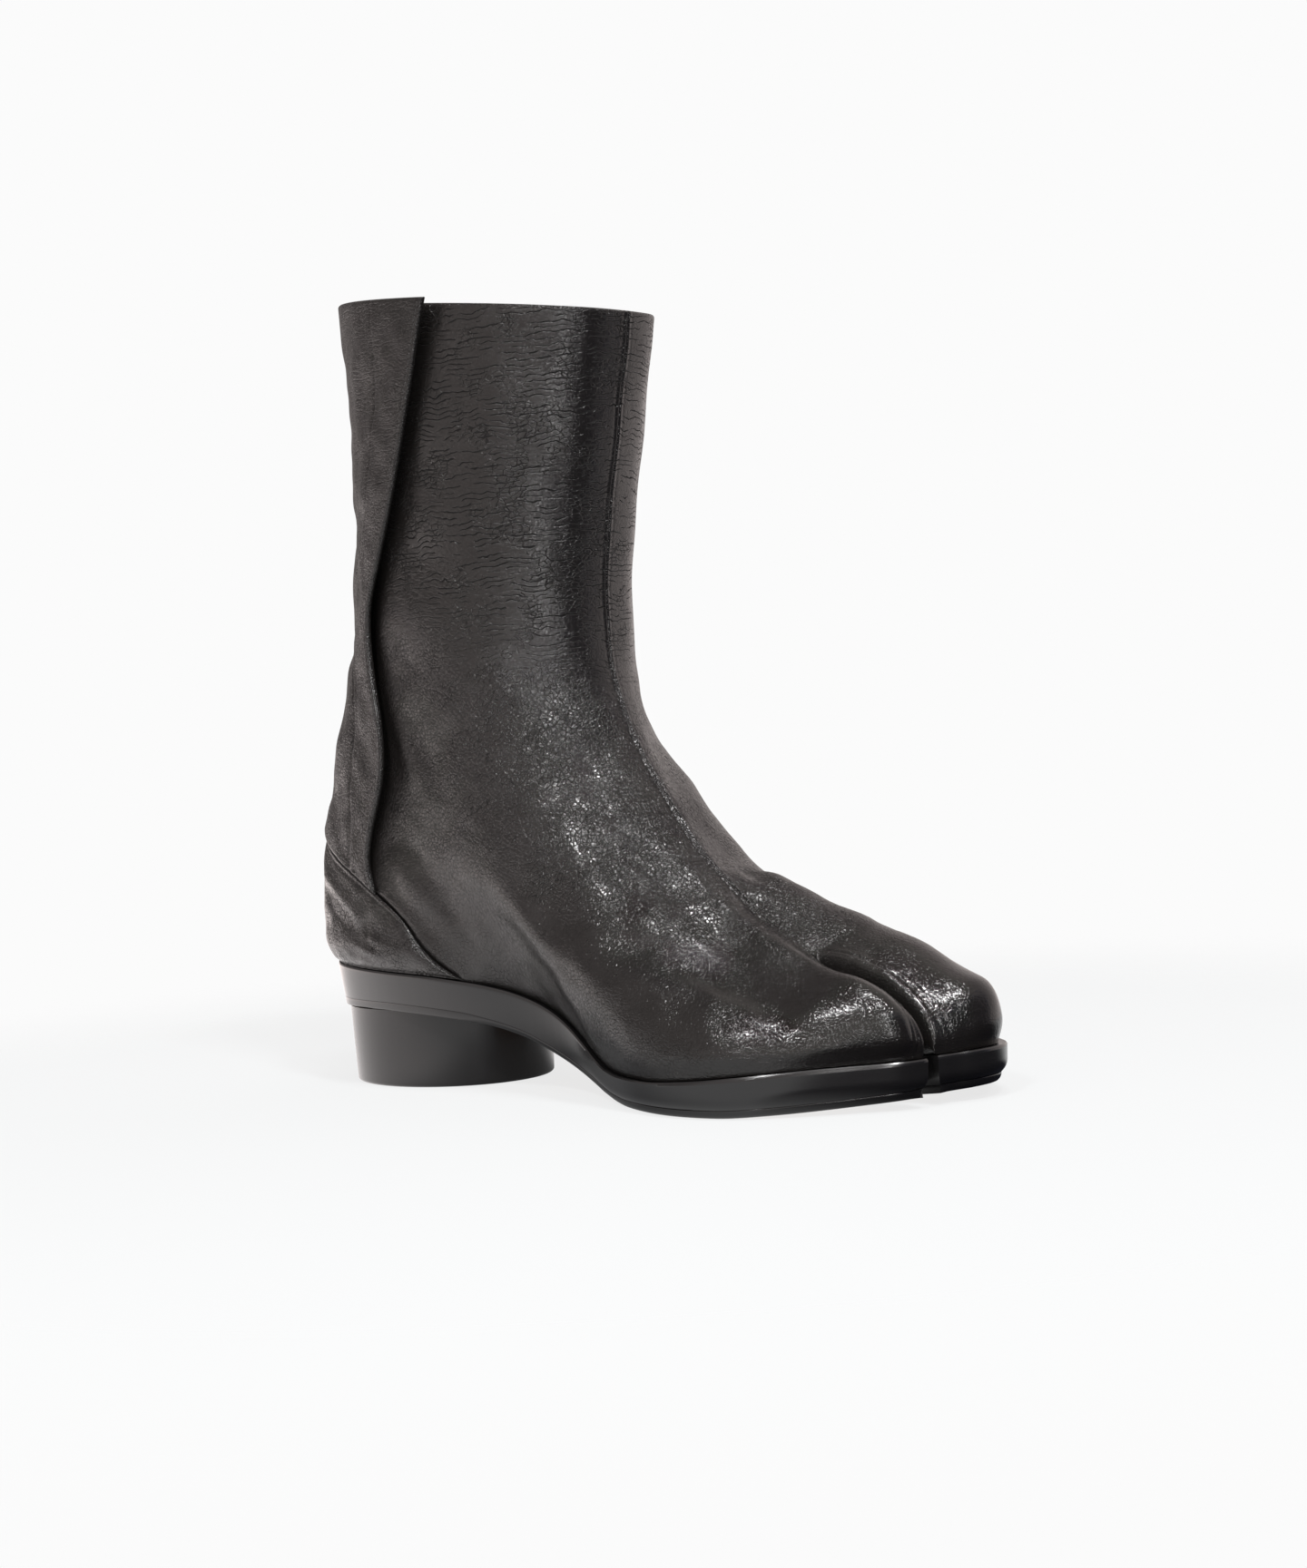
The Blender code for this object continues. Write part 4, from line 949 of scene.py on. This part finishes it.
# %% The closure flap
FLAP_THICKNESS = 2.0
FLAP_RIMS = (1.0, 2.5, 1.0, 1.0)            # mm, radius of the edge: free edge, seam, foot, collar
FLAP_TOP_RISE = 2.5
FLAP_ROWS, FLAP_COLUMNS = 240, 100
RIM_STITCHES, SEAM_STITCHES = 1.9, 2.4      # mm from the free edge, from the sewn edge
TURN = 250.0                                # mm, about one turn of u round the shaft
FLAP_SEAM = [  # v, u of the inner seam
    (3.4, 0.402), (5.3, 0.400), (6.8, 0.402), (7.7, 0.401), (8.5, 0.412), (9.2, 0.418), (9.8, 0.408),
    (10.6, 0.388), (11.5, 0.357), (12.2, 0.338), (12.8, 0.326), (13.3, 0.320), (14.0, 0.317),
]
FLAP_FOLDS = [  # the same columns as on the upper
    ([(0.290, 13.5), (0.330, 13.1), (0.370, 12.9)], 7.0, -1.1, 0.2, 0.4, 0.4),
    ([(0.325, 12.4), (0.365, 12.0), (0.410, 11.8)], 7.0, 0.9, 0.2, 0.4, 0.4),
    ([(0.400, 11.6), (0.440, 11.3), (0.500, 11.2), (0.545, 11.3)], 6.0, -1.2, 0.25, 0.4, 0.4),
    ([(0.395, 10.6), (0.450, 10.3), (0.510, 10.2)], 6.0, 0.8, 0.2, 0.4, 0.4),
    ([(0.400, 9.2), (0.450, 9.0), (0.520, 9.1)], 6.5, -0.9, 0.25, 0.4, 0.4),
    ([(0.400, 7.4), (0.440, 6.8), (0.480, 6.4)], 7.0, 0.8, 0.2, 0.4, 0.4),
    ([(0.390, 5.8), (0.430, 5.4), (0.470, 5.5)], 5.5, -0.6, 0.25, 0.4, 0.4),
]


def make_flap():
    """u goes from the free edge to the seam, v from just above the counter to the collar, as on the solid."""
    edge = np.array(FLAP_EDGE)
    up = crowded(FLAP_ROWS, 0.005)[:, None]
    round_leg = crowded(FLAP_COLUMNS, 0.012)[None, :]
    nominal = edge[0, 0] + (TOP_RING - edge[0, 0]) * up
    free, off = through_points(edge[:, 0], edge[:, 1:], nominal[:, 0]).T[:, :, None]
    u = free + (FLAP_SEAM_U - free) * round_leg
    counter_distance, counter_top = np.array(COUNTER_EDGE).T
    bottom = np.interp(abs(u[:1] - 0.5), counter_distance, counter_top) + 0.08
    v = bottom + (TOP_RING - bottom) * up
    inside = PATCH_FIT + np.maximum(off - PATCH_FIT, 0) * (1 - round_leg)**2
    lift = np.broadcast_to(FLAP_TOP_RISE * smooth(0.93, 1.0, up) * (1 - 0.6 * round_leg), u.shape)
    base = on_last(u, v, 2.0)

    def relief(edges):
        from_edge = edges[0]
        seam_v, seam_u = np.array(FLAP_SEAM).T
        seam_at = through_points(seam_v, seam_u[:, None], v.ravel()).reshape(v.shape)
        beyond = (u - seam_at) * TURN
        rim = bumps(from_edge, [(0.9, 0.6, 0.22), (RIM_STITCHES, 0.4, -0.22), (3.2, 0.8, 0.10)])
        seam = bumps(beyond, [(0, 0.42, -0.42), (-1.2, 0.8, 0.20)])
        sewn = bumps(edges[1], [(SEAM_STITCHES, 0.5, -0.2)])
        calm = smooth(1.0, 9.0, from_edge) * smooth(0, 5, edges[2]) * smooth(0.5, 6, edges[3])
        soft = folded(base, FLAP_FOLDS) + 0.35 * hills(base, 26, 21) + 0.16 * hills(base, 11, 22)
        return rim + seam + sewn + np.maximum(soft, -0.9) * calm

    high = smooth(10.2, 12.2, v)
    marks = {"shaft": 0.55 * high, "pebble": 0.75 - 0.35 * high, "polish": 0.1 + 0 * v}
    return sheet_piece("closure_flap", u, v, inside, FLAP_THICKNESS, FLAP_RIMS, relief, lift,
                       flap_leather, marks)


flap, flap_outer, flap_edges = make_flap()
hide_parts("closure_flap")

# %% [markdown]
# ## The heel counter
# A half-moon of leather wraps the back of the heel. It is cut with a skived edge: over the last few
# millimetres it thins out, so the seam is a low lip with a dark line beside it. A crease runs across its
# inner side, where the leather was pulled over the last.

# %% The heel counter
COUNTER_THICKNESS = 1.2
COUNTER_PRESS = 0.25                        # mm, how much nearer to the upper it lies than the flap
COUNTER_RIMS = (0.8, 0.8, 0.6, 0.9)         # mm, radius of the edge: both ends, foot, top
COUNTER_FOOT = 0.05                         # v of its lower edge
COUNTER_ROWS, COUNTER_COLUMNS = 60, 220
COUNTER_FOLDS = [
    ([(0.452, 3.7), (0.432, 3.0), (0.410, 2.4), (0.390, 1.8)], 2.6, 0.75, 0.5, 0.25, 0.25),
    ([(0.447, 3.0), (0.425, 2.3), (0.402, 1.75)], 3.4, -0.75, 0.3, 0.35, 0.3),
    ([(0.382, 2.1), (0.388, 1.6), (0.384, 1.1)], 1.5, 0.50, 0.6, 0.3, 0.4),
    ([(0.405, 1.3), (0.390, 1.1), (0.372, 0.95)], 1.3, -0.45, 0.6, 0.4, 0.4),
    ([(0.420, 1.0), (0.402, 0.8), (0.385, 0.65)], 1.3, -0.35, 0.6, 0.4, 0.4),
    ([(0.560, 3.4), (0.590, 2.8), (0.620, 2.2)], 3.0, 0.6, 0.5, 0.3, 0.3),
    ([(0.570, 2.5), (0.600, 1.9)], 3.5, -0.5, 0.3, 0.4, 0.4),
]


def make_counter():
    """u runs round the heel along the columns, and v from the foot up to the edge along the rows."""
    edge = np.array(COUNTER_EDGE)
    step = np.hypot(np.diff(edge[:, 0]) * TURN_AT_HEEL, np.diff(edge[:, 1]) * RING_STEP)
    length = np.concatenate([[0], np.cumsum(step)])
    across = crowded(COUNTER_COLUMNS, 0.004) * 2 - 1
    distance = np.sign(across) * through_points(length, edge[:, :1], abs(across) * length[-1])[:, 0]
    top = through_points(length, edge[:, 1:], abs(across) * length[-1])[:, 0]
    share = crowded(COUNTER_ROWS, 0.02)[:, None]
    foot = distance * 1.02
    u = 0.5 + foot + (distance - foot) * share
    v = COUNTER_FOOT + (top - COUNTER_FOOT) * share
    base = on_last(u, v, 1.2)

    def relief(edges):
        from_top = edges[3]
        calm = smooth(1.5, 6.0, from_top) * smooth(0.0, 4.0, edges[2])
        soft = folded(base, COUNTER_FOLDS) + 0.22 * hills(base, 22, 31) + 0.12 * hills(base, 9, 32)
        lip = bumps(from_top, [(0, 6, -0.62), (1.0, 0.6, 0.34), (2.3, 0.6, -0.20)])
        roll = bumps(edges[2], [(0, 1.6, -0.9), (7, 5, 0.9)])
        return lip + roll + np.maximum(soft, -0.6) * calm

    marks = {"shaft": 0.15 + 0 * v, "pebble": 0.7 + 0 * v, "polish": 0.15 + 0 * v}
    inside = np.full(u.shape, PATCH_FIT - COUNTER_PRESS)
    return sheet_piece("heel_counter", u, v, inside, COUNTER_THICKNESS + COUNTER_PRESS, COUNTER_RIMS,
                       relief, np.zeros(u.shape), counter_leather, marks)


counter, _, _ = make_counter()
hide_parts("heel_counter")

# %% [markdown]
# ## Sole and heel
# The sole is a stack: a midsole band that shows as a polished edge, and a thin outsole that is black at its
# edge and tan below. In plan each layer follows the feather line, a little outside it, with the notch of
# the slit. A flat plate is cut across at many stations and then bent to the profile along the foot, which
# keeps its top and bottom faces smooth over the step at the waist. The heel is an oval column under the
# seat.

# %% Outlines of the sole
FIT = 0.3
WELT_MARGIN, TOE_MARGIN = 1.6, 2.6
OUTSOLE_THICKNESS = 2.4
HEEL_SLOPE, SEAT_SLOPE, FOREPART_ROUND = 1.6, 1.8, 2.2
OUTLINE_COLUMNS = 420
HEEL_INSETS = [(0.0, 0.10), (0.06, 0.0), (0.5, 0.45), (0.82, 0.80), (1.0, 1.0)]     # level, share of slope
FORE_INSETS = [(0.0, 0.16), (0.06, 0.0), (0.5, 0.08)]                               # level, share of round
FORE_CURL = 2.6                             # power with which the forepart's edge rounds in below half height


def sole_outline():
    """Feather line in plan, then the two walls of the notch, and how many points are on the feather line."""
    columns = np.interp(np.linspace(0, 1, OUTLINE_COLUMNS + 1), [0, 0.08, 0.92, 1], [0, 0.03, 0.97, 1])
    side = last_grid(columns, [0])[0, :, :2]
    share = np.sin(np.linspace(0, np.pi / 2, 25))[1:]
    x = side[-1, 0] + (NOTCH_END_X - side[-1, 0]) * share
    outer_wall = np.column_stack([x, Y_SLIT + notch_half_width(x)])
    inner_wall = np.column_stack([x, Y_SLIT - notch_half_width(x)])[:-1][::-1]
    return np.concatenate([side, outer_wall, inner_wall]), len(side)


def moved_out(outline, distance):
    """Each point moved along the outward normal of the outline there."""
    edges = np.roll(outline, -1, 0) - outline
    edges /= np.linalg.norm(edges, axis=1, keepdims=True)
    tangent = edges + np.roll(edges, 1, 0)
    tangent /= np.linalg.norm(tangent, axis=1, keepdims=True)
    outward = np.column_stack([-tangent[:, 1], tangent[:, 0]])
    return outline + outward * np.asarray(distance, float).reshape(-1, 1)


feather, on_foot = sole_outline()
on_side = np.arange(len(feather)) < on_foot
feather_x, feather_y = feather.T
forepart = smooth(66, 104, feather_x)
seat_slope = SEAT_SLOPE + (HEEL_SLOPE - SEAT_SLOPE) * (1 - smooth(-34, 0, feather_x))
margin = WELT_MARGIN + (TOE_MARGIN - WELT_MARGIN) * smooth(150, 195, feather_x) * smooth(2, 8, feather_y)
margin = np.where(on_side, margin, FIT)


def band_outline(level):
    """Margin less the inset of this level (0 at the top): a slope at the heel, a rounding at the forepart."""
    heel_share = np.interp(level, *zip(*HEEL_INSETS))
    fore_share = np.interp(level, *zip(*FORE_INSETS))
    if level > 0.5:
        fore_share += (1 - fore_share) * ((level - 0.5) / 0.5)**FORE_CURL
    inset = seat_slope * heel_share * (1 - forepart) + FOREPART_ROUND * fore_share * forepart
    return moved_out(feather, margin - np.where(on_side, inset, inset * 0.3))


print("feather line:", on_foot, "points round the foot,", len(feather) - on_foot, "in the notch")


# %% Bent plates
SOLE_CUTS = np.concatenate([np.arange(-42, 60, 6), np.arange(60, 112, 2.5), np.arange(112, 208, 6)])


def bent_plate(name, outlines, levels, z_top, z_bottom, materials):
    """Plate between outlines at levels 0 (top) to 1 (bottom), cut across and bent to the profiles."""
    bm = bmesh.new()
    rings = [[bm.verts.new((x * MM, y * MM, -level)) for x, y in outline]
             for outline, level in zip(outlines, levels)]
    count = len(rings[0])
    for high, low in zip(rings[:-1], rings[1:]):
        for j in range(count):
            bm.faces.new((high[j], high[(j + 1) % count], low[(j + 1) % count], low[j]))
    bm.faces.new(rings[0][::-1])
    bm.faces.new(rings[-1]).material_index = len(materials) - 1
    for x in SOLE_CUTS:
        bmesh.ops.bisect_plane(bm, geom=bm.verts[:] + bm.edges[:] + bm.faces[:], dist=1e-7,
                               plane_co=(x * MM, 0, 0), plane_no=(1, 0, 0))
    bmesh.ops.triangulate(bm, faces=[face for face in bm.faces if len(face.verts) > 4])
    bmesh.ops.recalc_face_normals(bm, faces=bm.faces)
    mesh = bpy.data.meshes.new(name)
    bm.to_mesh(mesh)
    bm.free()
    place = np.zeros(len(mesh.vertices) * 3)
    mesh.vertices.foreach_get("co", place)
    place = place.reshape(-1, 3)
    top, bottom = z_top(place[:, 0] / MM), z_bottom(place[:, 0] / MM)
    place[:, 2] = (top + (bottom - top) * -place[:, 2]) * MM
    mesh.vertices.foreach_set("co", place.ravel())
    mesh.update()
    for material in materials:
        mesh.materials.append(material)
    mesh.shade_smooth()
    mesh.set_sharp_from_angle(angle=np.radians(40))
    piece = bpy.data.objects.new(name, mesh)
    bpy.context.scene.collection.objects.link(piece)
    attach(piece, "root")
    print(f"{name}: {len(mesh.vertices)} points")
    return piece


# %% Midsole, outsole and insole
BAND_STEPS = np.concatenate([[0, 0.015, 0.035, 0.06], np.linspace(0.15, 0.8, 8), [0.87, 0.93, 0.97, 1.0]])
midsole = bent_plate("midsole", [band_outline(level) for level in BAND_STEPS], BAND_STEPS,
                     lambda x: height_on(SOLE_TOP, x) - FIT,
                     lambda x: height_on(SOLE_BOTTOM, x) + OUTSOLE_THICKNESS + FIT / 3,
                     [edge_black])
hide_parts("midsole")

OUTSOLE_STEPS = [(0.0, 0.05), (0.08, 0.0), (0.35, 0.12), (0.6, 0.38), (0.8, 0.75), (0.93, 1.15), (1.0, 1.7)]
band_foot = band_outline(1.0)
mouth_distance = np.minimum(*(np.linalg.norm(feather - feather[k], axis=1) for k in (0, on_foot - 1)))
inset_share = np.where(on_side, 0.15 + 0.85 * smooth(0, 4, mouth_distance) * smooth(34, 50, feather_x), 0.15)
outsole = bent_plate("outsole", [moved_out(band_foot, -inset * inset_share) for _, inset in OUTSOLE_STEPS],
                     [level for level, _ in OUTSOLE_STEPS],
                     lambda x: height_on(SOLE_BOTTOM, x) + OUTSOLE_THICKNESS,
                     lambda x: height_on(SOLE_BOTTOM, x), [edge_black, sole_tan])
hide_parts("outsole")

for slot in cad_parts["insole"].material_slots:
    slot.material = sock_leather


# %% The heel block
HEEL_LENGTH, HEEL_WIDTH, HEEL_FLARE = 72.0, 60.5, 1.03
HEEL_ROUND = 1.1                            # mm, its lower edge


def make_heel():
    """Oval rings: half axes x (cos, sin), less a quarter circle's inset at the floor, and flared above it."""
    angle = np.linspace(0, 2 * np.pi, 193)
    arc = np.linspace(0, np.pi / 2, 7)[:, None]
    share = np.concatenate([np.zeros(7), np.linspace(0.05, 1, 16)])[:, None]
    inset = np.concatenate([HEEL_ROUND * (1 - np.sin(arc)), np.zeros((16, 1))])
    flare = 1 + (HEEL_FLARE - 1) * share
    x = (HEEL_LENGTH / 2 * flare - inset) * np.cos(angle)
    y = (HEEL_WIDTH / 2 * flare - inset) * np.sin(angle)
    foot = np.concatenate([HEEL_ROUND * (1 - np.cos(arc)), np.full((16, 1), HEEL_ROUND)])
    z = foot + (height_on(SOLE_BOTTOM, x) - FIT - foot) * share
    rings = np.stack([x, y, z], -1)
    lid = np.stack([x[-1:] * 0.6, y[-1:] * 0.6, height_on(SOLE_BOTTOM, x[-1:] * 0.6) - FIT], -1)
    tip = np.broadcast_to((0, 0, height_on(SOLE_BOTTOM, 0) - FIT), lid.shape)
    grid = np.concatenate([rings[:1] * 0, rings[:1] * (0.55, 0.55, 1), rings, lid, tip])
    index = np.arange(grid.shape[0] * grid.shape[1]).reshape(grid.shape[:2])
    index[:, -1] = index[:, 0]
    index[0], index[-1] = index[0, 0], index[-1, 0]
    points, faces, _ = used_only(grid.reshape(-1, 3), grid_faces(index)[:, ::-1])
    return add_piece("heel", points, faces, heel_black, sharp_angle=50)


heel = make_heel()
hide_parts("heel")

# %% [markdown]
# ## Stitches
# The rim of the flap and its sewn edge are held by fine rows of stitches. A stitch is a small lens of thread
# in the groove beside the edge. Each row is one mesh: the same few points, turned and moved by whole arrays.

# %% Stitches along a line
STITCH_PITCH, STITCH_LENGTH, STITCH_WIDTH = 2.3, 1.7, 0.42     # mm
STITCH_HEIGHT = STITCH_WIDTH / 1.1


def stitch_row(name, centre, along, normal):
    """At each place a lens that is long along the row, narrower across it and lowest out of the leather."""
    angle = np.linspace(0, 2 * np.pi, 7)[:-1]
    stations = np.array([-1.0, -0.8, -0.35, 0.35, 0.8, 1.0])
    girth = np.sqrt(np.clip(1 - stations**4, 0, 1))
    across = np.cross(normal, along)
    cosine, sine = np.cos(angle)[:, None], np.sin(angle)[:, None]
    section = (cosine * across[:, None, None] * (STITCH_WIDTH / 2)
               + sine * normal[:, None, None] * (STITCH_HEIGHT / 2))
    half = stations[:, None, None] * along[:, None, None] * (STITCH_LENGTH / 2)
    points = centre[:, None, None] + half + girth[:, None, None] * section
    count, slices, around = points.shape[:3]
    index = np.arange(count * slices * around).reshape(count, slices, around)
    index[:, 0], index[:, -1] = index[:, 0, :1], index[:, -1, :1]
    wrapped = np.concatenate([index, index[:, :, :1]], axis=2)
    here, there = wrapped[:, :-1], wrapped[:, 1:]
    faces = np.stack([here[:, :, :-1], here[:, :, 1:], there[:, :, 1:], there[:, :, :-1]], -1).reshape(-1, 4)
    points, faces, _ = used_only(points.reshape(-1, 3), faces)
    return add_piece(name, points, faces, thread_black)


def placed_stitches(name, line, normals):
    """A stitch every STITCH_PITCH millimetres along a line of points."""
    run = length_along(line)
    at = np.arange(STITCH_PITCH, run[-1] - STITCH_PITCH, STITCH_PITCH)
    centre = np.column_stack([np.interp(at, run, line[:, k]) for k in range(3)])
    normal = np.column_stack([np.interp(at, run, normals[:, k]) for k in range(3)])
    along = np.gradient(centre, axis=0)
    along /= np.linalg.norm(along, axis=1, keepdims=True)
    normal -= along * (normal * along).sum(1, keepdims=True)
    normal /= np.linalg.norm(normal, axis=1, keepdims=True)
    return stitch_row(name, centre, along, normal)


flap_normals = np.cross(np.gradient(flap_outer, axis=0), np.gradient(flap_outer, axis=1))
rows = np.arange(len(flap_outer))
for name, from_edge, inset in (("flap_rim_stitches", flap_edges[0], RIM_STITCHES),
                               ("flap_seam_stitches", flap_edges[1], SEAM_STITCHES)):
    column = np.argmin(abs(from_edge - inset), axis=1)
    placed_stitches(name, flap_outer[rows, column], flap_normals[rows, column])

# %% [markdown]
# ## Floor, daylight and lamps
# A pale floor runs back into a pale backdrop with no line between them. The light is a white studio: bright
# all round, brightest low on the left, but with a dark gap to the right of the camera, which the black
# leather shows as the blue-black bands on its front. A tall strip and five small softboxes give its glints.

# %% The camera
EYE = (640.3, -625.4, 118.7)                # mm
FORWARD = np.array([-0.65581, 0.75443, -0.02740])
UP = np.array([0.02813, 0.06069, 0.99776])  # the photograph is rolled by 3.5 degrees
PHOTO_SIZE = (1440, 1728)
FOCAL_PIXELS = 2900.0
FILM = 36.0

camera_data = bpy.data.cameras.new("camera")
camera_data.sensor_fit = "VERTICAL"
camera_data.sensor_height = FILM
camera_data.lens = FOCAL_PIXELS / PHOTO_SIZE[1] * FILM
camera_data.clip_start, camera_data.clip_end = 0.02, 50
camera = bpy.data.objects.new("camera", camera_data)
right = np.cross(FORWARD, UP)
turn = Matrix(np.column_stack([right, UP, -FORWARD]).tolist()).to_4x4()
camera.matrix_world = Matrix.Translation([c * MM for c in EYE]) @ turn
bpy.context.scene.collection.objects.link(camera)
bpy.context.scene.camera = camera
print("lens", round(camera_data.lens, 1), "mm, eye", EYE)


# %% The dark gap
DARK_FROM, DARK_TO = 64.0, 112.0            # degrees round from -Y towards +X


def azimuth_of(graph, east, north):
    """Degrees round from -Y towards +X: arctan2(x, -y)."""
    return east.maths("ARCTAN2", east, 0 - north) * (180 / np.pi)


def dark_gap(graph, azimuth):
    """1 between the gap's two sides, 0 well outside them."""
    return graph.ramp(azimuth, DARK_FROM - 8, DARK_FROM) * (1 - graph.ramp(azimuth, DARK_TO, DARK_TO + 18))


def left_side(graph, azimuth):
    """1 on the left of the camera, from -130 to -50 degrees, where a lit white card lies on the floor."""
    return graph.ramp(azimuth, -170, -130) * (1 - graph.ramp(azimuth, -50, -15))


# %% The floor
FLOOR_MIDDLE = (0.085, 0.0, 0.0)            # m, below the middle of the boot
FLOOR_RADIUS, FLOOR_DROP = 0.7, 0.0001      # m, the second below the boot
FADE_FROM, FADE_TO = 0.24, 0.48             # m, where the floor gives way to the backdrop


def floor_material():
    """Pale paper fading at its rim; in reflections, a painted glow on the left and painted shade in the gap.
    """
    material, graph = new_material("pale floor")
    here = graph.node("ShaderNodeTexCoord", output="Object")
    offset = graph.node("ShaderNodeVectorMath", {"operation": "SUBTRACT"}, {0: here, 1: FLOOR_MIDDLE})
    away = graph.node("ShaderNodeVectorMath", {"operation": "LENGTH"}, {0: offset}, 1)
    surface = graph.node("ShaderNodeBsdfPrincipled", {}, {
        "Base Color": (0.12, 0.128, 0.130, 1), "Roughness": 0.5, "Specular IOR Level": 0.0,
        "Emission Color": (1, 1, 1, 1), "Emission Strength": 0.77})
    east, north, _ = graph.parts(offset)
    azimuth = azimuth_of(graph, east, north)
    mirrored = 1 - graph.node("ShaderNodeLightPath", output="Is Camera Ray")
    # Painted light: in reflections only, the floor glows bright and warm on the left, away from the boot.
    side = left_side(graph, azimuth) * graph.ramp(away, 0.05, 0.12) * mirrored
    painted_glow = graph.node("ShaderNodeEmission", {}, {"Color": (1, 0.95, 0.94, 1), "Strength": 1.5})
    surface = graph.node("ShaderNodeMixShader", {}, {0: side, 1: surface, 2: painted_glow})
    # Painted shade: in reflections only, the floor turns dark in the gap and, as a painted shadow, under the
    # boot.
    under = 0.75 - 0.75 * graph.ramp(away, 0.05, 0.10)
    gap = (dark_gap(graph, azimuth) * graph.ramp(away, 0.08, 0.12)).most(under) * mirrored
    shade = graph.node("ShaderNodeBsdfPrincipled", {}, {
        "Base Color": (0.02, 0.022, 0.03, 1), "Specular IOR Level": 0.0})
    surface = graph.node("ShaderNodeMixShader", {}, {0: gap, 1: surface, 2: shade})
    clear = graph.node("ShaderNodeBsdfTransparent")
    faded = graph.ramp(away, FADE_FROM, FADE_TO)
    mixed = graph.node("ShaderNodeMixShader", {}, {0: faded, 1: surface, 2: clear})
    graph.node("ShaderNodeOutputMaterial", {}, {"Surface": mixed})
    return material


def make_floor():
    """A disc in rings, a tenth of a millimetre below the boot."""
    radius = np.linspace(0, FLOOR_RADIUS, 15)[:, None]
    angle = np.linspace(0, 2 * np.pi, 65)[None, :]
    drop = np.full_like(radius * angle, -FLOOR_DROP)
    points = np.stack([radius * np.cos(angle), radius * np.sin(angle), drop], -1)
    index = np.arange(points.shape[0] * points.shape[1]).reshape(points.shape[:2])
    index[:, -1] = index[:, 0]
    index[0] = index[0, 0]
    mesh = bpy.data.meshes.new("floor")
    points = points.reshape(-1, 3) + FLOOR_MIDDLE
    mesh.from_pydata(points.tolist(), [], without_repeats(grid_faces(index)[:, ::-1]))
    mesh.materials.append(floor_material())
    floor = bpy.data.objects.new("floor", mesh)
    bpy.context.scene.collection.objects.link(floor)
    return floor


floor = make_floor()

# %% The white studio with its dark gap
BACKDROP = 0.965
WALL_LIGHT, BACK_LIGHT = 0.80, 0.25         # the studio's walls, and what the one behind the boot adds
LEFT_SHADE, CARD_LIGHT = 0.46, 1.4          # the left is darker high up, and brighter near the floor
world = bpy.data.worlds.new("studio")
bpy.context.scene.world = world
world.use_nodes = True
studio = Graph(world.node_tree)
way = studio.node("ShaderNodeTexCoord", output="Generated")
east, north, height = studio.parts(way)
azimuth = azimuth_of(studio, east, north)
gap = dark_gap(studio, azimuth) * (1 - studio.ramp(height, 0.45, 0.75))
tint = studio.node("ShaderNodeMix", {"data_type": "RGBA"},
                   {"Factor": gap, 6: (1, 0.90, 0.875, 1), 7: (0.55, 0.60, 1, 1)}, 2)
seen = studio.node("ShaderNodeLightPath", output="Is Camera Ray")
colour = studio.node("ShaderNodeMix", {"data_type": "RGBA"}, {"Factor": seen, 6: tint, 7: (1, 1, 1, 1)}, 2)
left = left_side(studio, azimuth)
low = 1 - studio.ramp(height, -0.08, -0.01)
back = studio.ramp(azimuth.maths("ABSOLUTE", azimuth), 140, 165)
walls = WALL_LIGHT - LEFT_SHADE * left * (1 - low) + CARD_LIGHT * low * left + BACK_LIGHT * back
light = walls * (1 - 0.94 * gap) * (1 - 0.35 * studio.ramp(height, 0.6, 0.9))
strength = seen * BACKDROP + (1 - seen) * light
shown = studio.node("ShaderNodeBackground", {}, {"Color": colour, "Strength": strength})
studio.node("ShaderNodeOutputWorld", {}, {"Surface": shown})
bpy.context.scene.view_settings.view_transform = "Standard"


# %% The lamps
def area_lamp(name, azimuth, elevation, distance, width, height, power, target=(90, -10, 110)):
    """Rectangle that looks at the target from an azimuth (0 is -Y, 90 is +X) and an elevation in degrees."""
    a, e = np.radians([azimuth, elevation])
    way = np.array([np.sin(a) * np.cos(e), -np.cos(a) * np.cos(e), np.sin(e)])
    data = bpy.data.lights.new(name, "AREA")
    data.shape = "RECTANGLE"
    data.size, data.size_y, data.energy = width, height, power
    lamp = bpy.data.objects.new(name, data)
    side = np.cross((0, 0, 1.0), way)
    side /= np.linalg.norm(side)
    turned = Matrix(np.column_stack([side, np.cross(way, side), way]).tolist()).to_4x4()
    place = np.array(target) * MM + way * distance
    lamp.matrix_world = Matrix.Translation(place.tolist()) @ turned
    lamp.visible_camera = False
    bpy.context.scene.collection.objects.link(lamp)
    print(f"{name}: {power} W at azimuth {azimuth}, elevation {elevation}")
    return lamp


area_lamp("strip", 50, 5, 1.6, 0.06, 1.05, 4)
area_lamp("high softbox", 64, 55, 1.5, 0.16, 0.16, 10)
area_lamp("side softbox", 59, 27, 1.5, 0.12, 0.12, 3)
area_lamp("low softbox", 19, 14, 1.5, 0.09, 0.09, 1.2)
area_lamp("front softbox", 18, 46, 1.5, 0.15, 0.15, 8)
area_lamp("top softbox", 60, 78, 1.5, 0.15, 0.15, 5)
